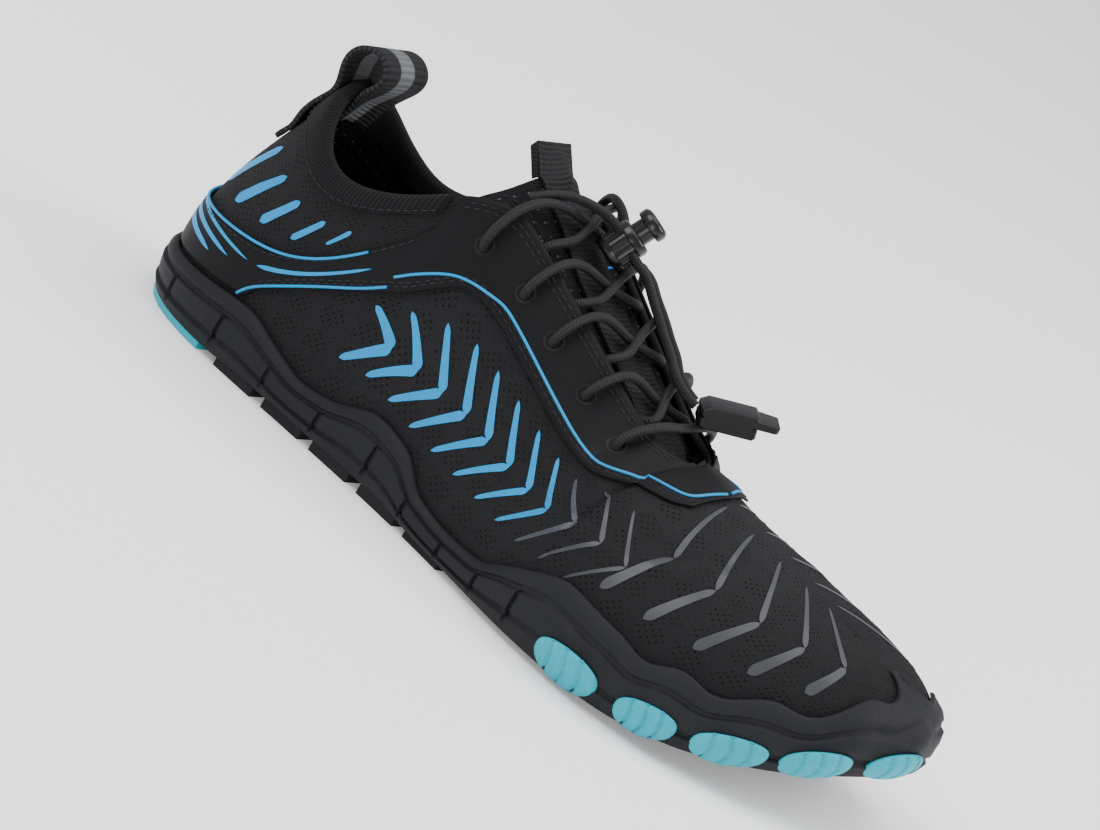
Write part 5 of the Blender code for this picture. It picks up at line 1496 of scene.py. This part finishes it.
class SHOE_OT_sole(ShoeOperator, bpy.types.Operator):
    """Cupped rubber sole with grooved sides, scallops, slots and lugs"""
    bl_idname = "shoe.sole"
    bl_label = "Rubber sole"

    def columns(self):
        """Signed places of the sole's sections, closer together at its slots."""
        half = fine_places(sizes().columns)
        places = list(np.concatenate([-half[::-1], half[1:-1]]))
        spread = SLOT_WIDTH / 2 / HALF_OUTLINE
        for side in (-1, 1):
            for share in SIDE_SLOTS:
                middle = place_at_share(side, share)
                places += [middle + spread * k for k in (-1.5, -1.0, 0.0, 1.0, 1.5)]
        return np.array(sorted(places))

    def build(self):
        places = self.columns()
        fx, fy = foot_line(places)
        nx, ny = outward(places)
        floor, top, base = SOLE_THICKNESS + toe_lift(fx), sidewall_top(places), tread_base(fx)
        shares = np.linspace(0, 0.7, 80)
        levels = last_surface(places[:, None], shares[None, :])[..., 2]
        crest = np.array([np.interp(z, row, shares) for z, row in zip(top, levels)])
        out = np.stack([nx, ny, np.zeros_like(nx)], -1)
        slots = np.zeros_like(places)
        spread = SLOT_WIDTH / 2 / HALF_OUTLINE
        for side in (-1, 1):
            for share in SIDE_SLOTS:
                middle = place_at_share(side, share)
                slots = np.maximum(slots, 1 - smooth_step(spread, 1.5 * spread, np.abs(places - middle)))
        wave = np.cos(2 * math.pi * places * HALF_OUTLINE / SCALLOP_LENGTH)
        toe = smooth_step(SCALLOP_FROM, SCALLOP_FROM + 0.08, share_of(fx))
        rows = [np.stack([fx + nx * RAND_GAP, fy + ny * RAND_GAP, floor], -1)]
        rows += [skin(places, crest * part, RAND_GAP) for part in (0.25, 0.5, 0.75, 0.9, 1.0)]
        high = rows[-1]
        rise = np.array([0, 0, 0.0003])
        rows += [high + out * SIDEWALL_LIP * 0.35 + rise, high + out * SIDEWALL_LIP * 0.75 + rise * 0.7,
                 high + out * SIDEWALL_LIP - rise]
        profile = [(0.90, 0.72, 0)] + SIDE_STEPS
        fine = []
        for (h0, w0, g0), (h1, w1, g1) in zip(profile, profile[1:] + [(0.0, 0.42, 0)]):
            fine += [(h0, w0, g0), (h0 + (h1 - h0) * 0.5, w0 + (w1 - w0) * 0.5 + 0.01, (g0 + g1) / 2)]
        for height, thickness, grooved in fine:
            z = base + height * (top - base)
            share = np.array([min(np.interp(level, row, shares), most)
                              for level, row, most in zip(z, levels, crest)])
            inner = skin(places, share, RAND_GAP)
            reach = SIDEWALL_THICKNESS * thickness - SIDE_GROOVE * grooved
            reach = reach + toe * 0.0007 * np.maximum(wave, 0) * (0.45 < height < 0.93)
            reach = reach - slots * SLOT_DEPTH * (0.15 < height < 0.69)
            rows.append(np.stack([inner[:, 0] + nx * reach, inner[:, 1] + ny * reach, z], -1))
        rows.append(np.stack([fx + nx * SEAM_GAP, fy + ny * SEAM_GAP, base], -1))
        grid = np.array(rows).transpose(1, 0, 2)
        count, size = grid.shape[:2]
        batch = Batch()
        faces = grid_faces(count, size, closed_rows=True)
        batch.add(grid, faces, cloth_ways(places[:, None] * HALF_OUTLINE, np.arange(size)[None, :] * 0.001))
        batch.faces += self.floors(places, count, size)
        batch.looks += [0] * (len(batch.faces) - len(batch.looks))
        for outline, low, tall in tread_blocks():
            n = len(outline)
            corners = [(x, y, low) for x, y in outline] + [(x, y, tall) for x, y in outline]
            block = [tuple(range(n))[::-1], tuple(range(n, 2 * n))]
            block += [(i, (i + 1) % n, n + (i + 1) % n, n + i) for i in range(n)]
            batch.add(corners, block)
        black = rubber_look("charcoal rubber", "rubber", 0.0009, 0.00022, 0.62)
        batch.make("rubber_sole", [black], "black_rubber", replaced=("outsole",), outwards=True, sharp=50)

    def floors(self, places, count, size):
        """Footbed and underside, as strips across the shoe between matching columns."""
        faces = []
        tip = int(np.argmin(np.abs(places)))
        left, right = tip, tip
        pairs = []
        while left > 0 or right < count - 1:
            x_left = abs(places[left - 1]) if left > 0 else 2.0
            x_right = abs(places[right + 1]) if right < count - 1 else 2.0
            step = (left, right)
            if x_left <= x_right:
                left -= 1
            if x_right <= x_left:
                right += 1
            pairs.append((step, (left, right)))
        for (a, b), (c, d) in pairs:
            for column in (0, size - 1):
                ring = [i * size + column for i in dict.fromkeys((a, b, d, c))]
                if len(ring) > 2:
                    faces.append(tuple(ring))
        for column in (0, size - 1):
            faces.append((0 * size + column, (count - 1) * size + column, (count - 2) * size + column))
        return faces


class SHOE_OT_pods(ShoeOperator, bpy.types.Operator):
    """Turquoise toe pods with curved grooves, and the pads under the sole"""
    bl_idname = "shoe.pods"
    bl_label = "Pods and pads"

    def build(self):
        look = rubber_look("turquoise rubber", "pods", 0.0012, 0.00012, 0.42)
        tilt = math.radians(POD_TILT)
        for number, (place, half_length, centre_height, half_height) in enumerate(TOE_PODS):
            rows, columns = 56, 96
            lat = np.linspace(-math.pi / 2, math.pi / 2, rows)[:, None]
            lon = np.linspace(-math.pi, math.pi, columns, endpoint=False)[None, :]
            bulge = np.cos(lat) ** 0.75
            along, up = np.sin(lat) * np.ones_like(lon), bulge * np.sin(lon)
            outside = bulge * np.cos(lon)
            lines = np.zeros_like(along)
            for middle in (-0.48, 0.0, 0.48):
                off = np.abs(along - middle + 0.16 * (up ** 2 - 0.3))
                lines = np.maximum(lines, 1 - smooth_step(0.025, 0.07, off))
            away = outside * POD_DEPTH * 1.1 - lines * 0.0008 * (outside > 0.1)
            at = place + along * half_length / HALF_OUTLINE
            fx, fy = foot_line(at)
            nx, ny = outward(at)
            reach = SIDEWALL_THICKNESS + up * half_height * math.sin(tilt) + away * math.cos(tilt)
            z = centre_height + up * half_height * math.cos(tilt) - away * math.sin(tilt) + toe_lift(fx)
            batch = Batch()
            batch.add(np.stack([fx + nx * reach, fy + ny * reach, z], -1),
                      grid_faces(rows, columns, closed_columns=True))
            name = f"toe_pod_{number + 1}"
            batch.make(f"grooved_pod_{number + 1}", [look], "blue_rubber", replaced=(name,), merge=1e-6,
                       outwards=True, sharp=75)
        for name, piece in frame["nodes"].items():
            if name.startswith("tread_pad") or name == "heel_pad":
                piece.data.materials[0] = look


class SHOE_OT_lock(ShoeOperator, bpy.types.Operator):
    """Cord lock with its press button"""
    bl_idname = "shoe.lock"
    bl_label = "Cord lock"

    def build(self):
        placing = lock_placing()
        half, radius = LOCK_LENGTH / 2, LOCK_DIAMETER / 2
        bore = PLUNGER_DIAMETER / 2 + SEAM_GAP
        floor = 0.2 * LOCK_LENGTH - half
        rim = 0.08 * LOCK_DIAMETER
        barrel = [
            (0, -half, 0), (radius - rim * 1.4, -half, 0), (radius - rim * 0.5, -half + rim * 0.3, 0),
            (radius, -half + rim, 0), (radius, -half * 0.55, 0), (radius - 0.0004, -half * 0.5, 1),
            (radius - 0.0004, half * 0.45, 1), (radius, half * 0.5, 0), (radius, half - rim, 0),
            (radius - rim * 0.5, half - rim * 0.3, 0), (radius - rim * 1.4, half, 0), (bore, half, 0),
            (bore, floor, 0), (0, floor, 0),
        ]
        look = plastic_look("lock plastic", 0.30, 0.25)
        batch = Batch()
        points, faces, uvs = turned(barrel, 96, 24, 0.00035)
        batch.add(placed(points, placing), faces, uvs)
        batch.make("fluted_lock", [look], "lock_plastic", replaced=("cord_lock_barrel",), merge=1e-6,
                   outwards=True)
        stem, head = PLUNGER_DIAMETER / 2, PLUNGER_HEAD / 2
        low, under = floor + PLUNGER_TRAVEL + SEAM_GAP, half + PLUNGER_TRAVEL + SEAM_GAP
        edge = 0.12 * head
        button = [
            (0, low, 0), (stem, low, 0), (stem, under, 0), (head - edge, under, 0),
            (head - edge * 0.2, under + edge * 0.4, 0),
            (head, under + edge, 0), (head, under + 4 * edge, 0), (head - edge * 0.5, under + 5 * edge, 0),
            (head - 2 * edge, under + 6 * edge, 0), (head * 0.5, under + 6.3 * edge, 0),
            (head * 0.45, under + 5.6 * edge, 0), (0, under + 5.4 * edge, 0),
        ]
        batch = Batch()
        points, faces, uvs = turned(button, 64)
        batch.add(placed(points, placing), faces, uvs)
        batch.make("press_button", [look], "lock_plastic", body=BUTTON_BODY, replaced=("cord_lock_plunger",),
                   merge=1e-6, outwards=True)


class SHOE_OT_clip(ShoeOperator, bpy.types.Operator):
    """End clip that holds the lace's tails"""
    bl_idname = "shoe.clip"
    bl_label = "End clip"

    def build(self):
        bar_edge = skin(EYELETS[-1][0], 0.99, film_top() + SEAM_GAP + LACE_DIAMETER)
        centre = np.array([bar_edge[0] + CLIP_AHEAD, CLIP_SIDE, bar_edge[2] + CLIP_HEIGHT / 2 + CLIP_LIFT])
        along = unit(CLIP_AXIS)
        across = unit(np.cross((0, 0, 1), along))
        turn = Matrix((along, across, np.cross(along, across))).transposed().to_4x4()
        placing = Matrix.Translation(Vector(centre)) @ turn
        outline = [
            # along and up, as shares of the clip's length and height
            (-0.50, -0.42), (-0.42, -0.50), (0.46, -0.50), (0.50, -0.40), (0.50, -0.06), (0.44, -0.06),
            (0.44, 0.02),
            (0.50, 0.02), (0.84, 0.02), (0.86, 0.26), (0.52, 0.32), (0.46, 0.46), (-0.36, 0.46),
            (-0.50, 0.26),
            (-0.50, 0.02), (-0.46, 0.02), (-0.46, -0.06), (-0.50, -0.06),
        ]
        rings = []
        for y, narrow in ((-0.5, 0.92), (-0.46, 0.97), (-0.40, 1.0), (0.40, 1.0), (0.46, 0.97), (0.5, 0.92)):
            rings.append([(x * CLIP_LENGTH * narrow, y * CLIP_WIDTH, z * CLIP_HEIGHT * narrow)
                          for x, z in outline])
        size = len(outline)
        faces = grid_faces(len(rings), size, closed_columns=True)
        faces += [tuple(range(size)), tuple(range((len(rings) - 1) * size, len(rings) * size))[::-1]]
        batch = Batch()
        batch.add(placed(rings, placing), faces)
        clip = batch.make("hinged_clip", [plastic_look("clip plastic", 0.40, 0.08)], "clip_plastic",
                          replaced=("cord_end_clip",), outwards=True)
        edge = clip.modifiers.new("Soft edges", "BEVEL")
        edge.width = 0.00018
        edge.segments = 2
        edge.limit_method = "ANGLE"


class SHOE_OT_insole(ShoeOperator, bpy.types.Operator):
    """Mesh cover of the footbed"""
    bl_idname = "shoe.insole"
    bl_label = "Insole"

    def build(self):
        cover = Look("footbed cloth", shade(colours().knit, 1.3), 0.9, Specular_IOR_Level=0.1)
        threads = cover.noise(0.0009)
        cover.blend(threads, shade(colours().knit, 0.8), shade(colours().knit, 2.4))
        cover.bump(threads, 0.0002)
        frame["nodes"]["insole"].data.materials[0] = cover.material


class SHOE_PT_panel(bpy.types.Panel):
    """Sidebar list of the shoe's pieces"""
    bl_idname = "SHOE_PT_panel"
    bl_label = "Barefoot shoe"
    bl_space_type = "VIEW_3D"
    bl_region_type = "UI"
    bl_category = "Shoe"

    def draw(self, context):
        for name in ("knit", "blue", "grey", "rubber", "pods"):
            self.layout.prop(context.scene.shoe_colours, name)
        for name in ("stitch", "stitch_gap", "thread", "piping", "print_rise", "columns"):
            self.layout.prop(context.scene.shoe_sizes, name)
        for step in OPERATORS:
            self.layout.operator(step.bl_idname)


OPERATORS = (SHOE_OT_stage, SHOE_OT_lock, SHOE_OT_clip, SHOE_OT_free_lace, SHOE_OT_lacing, SHOE_OT_upper,
             SHOE_OT_prints, SHOE_OT_overlay, SHOE_OT_cuff, SHOE_OT_tongue, SHOE_OT_heel_loop, SHOE_OT_sole,
             SHOE_OT_pods, SHOE_OT_insole)
CLASSES = (ShoeColours, ShoeSizes, *OPERATORS, SHOE_PT_panel)


def register():
    """Registers the classes and the scene's settings."""
    for each in CLASSES:
        bpy.utils.register_class(each)
    bpy.types.Scene.shoe_colours = PointerProperty(type=ShoeColours)
    bpy.types.Scene.shoe_sizes = PointerProperty(type=ShoeSizes)


def unregister():
    """Removes what register added."""
    del bpy.types.Scene.shoe_sizes
    del bpy.types.Scene.shoe_colours
    for each in reversed(CLASSES):
        bpy.utils.unregister_class(each)


def main():
    """Makes every piece in order."""
    register()
    for step in OPERATORS:
        group, name = step.bl_idname.split(".")
        getattr(getattr(bpy.ops, group), name)()


if __name__ == "__main__":
    main()
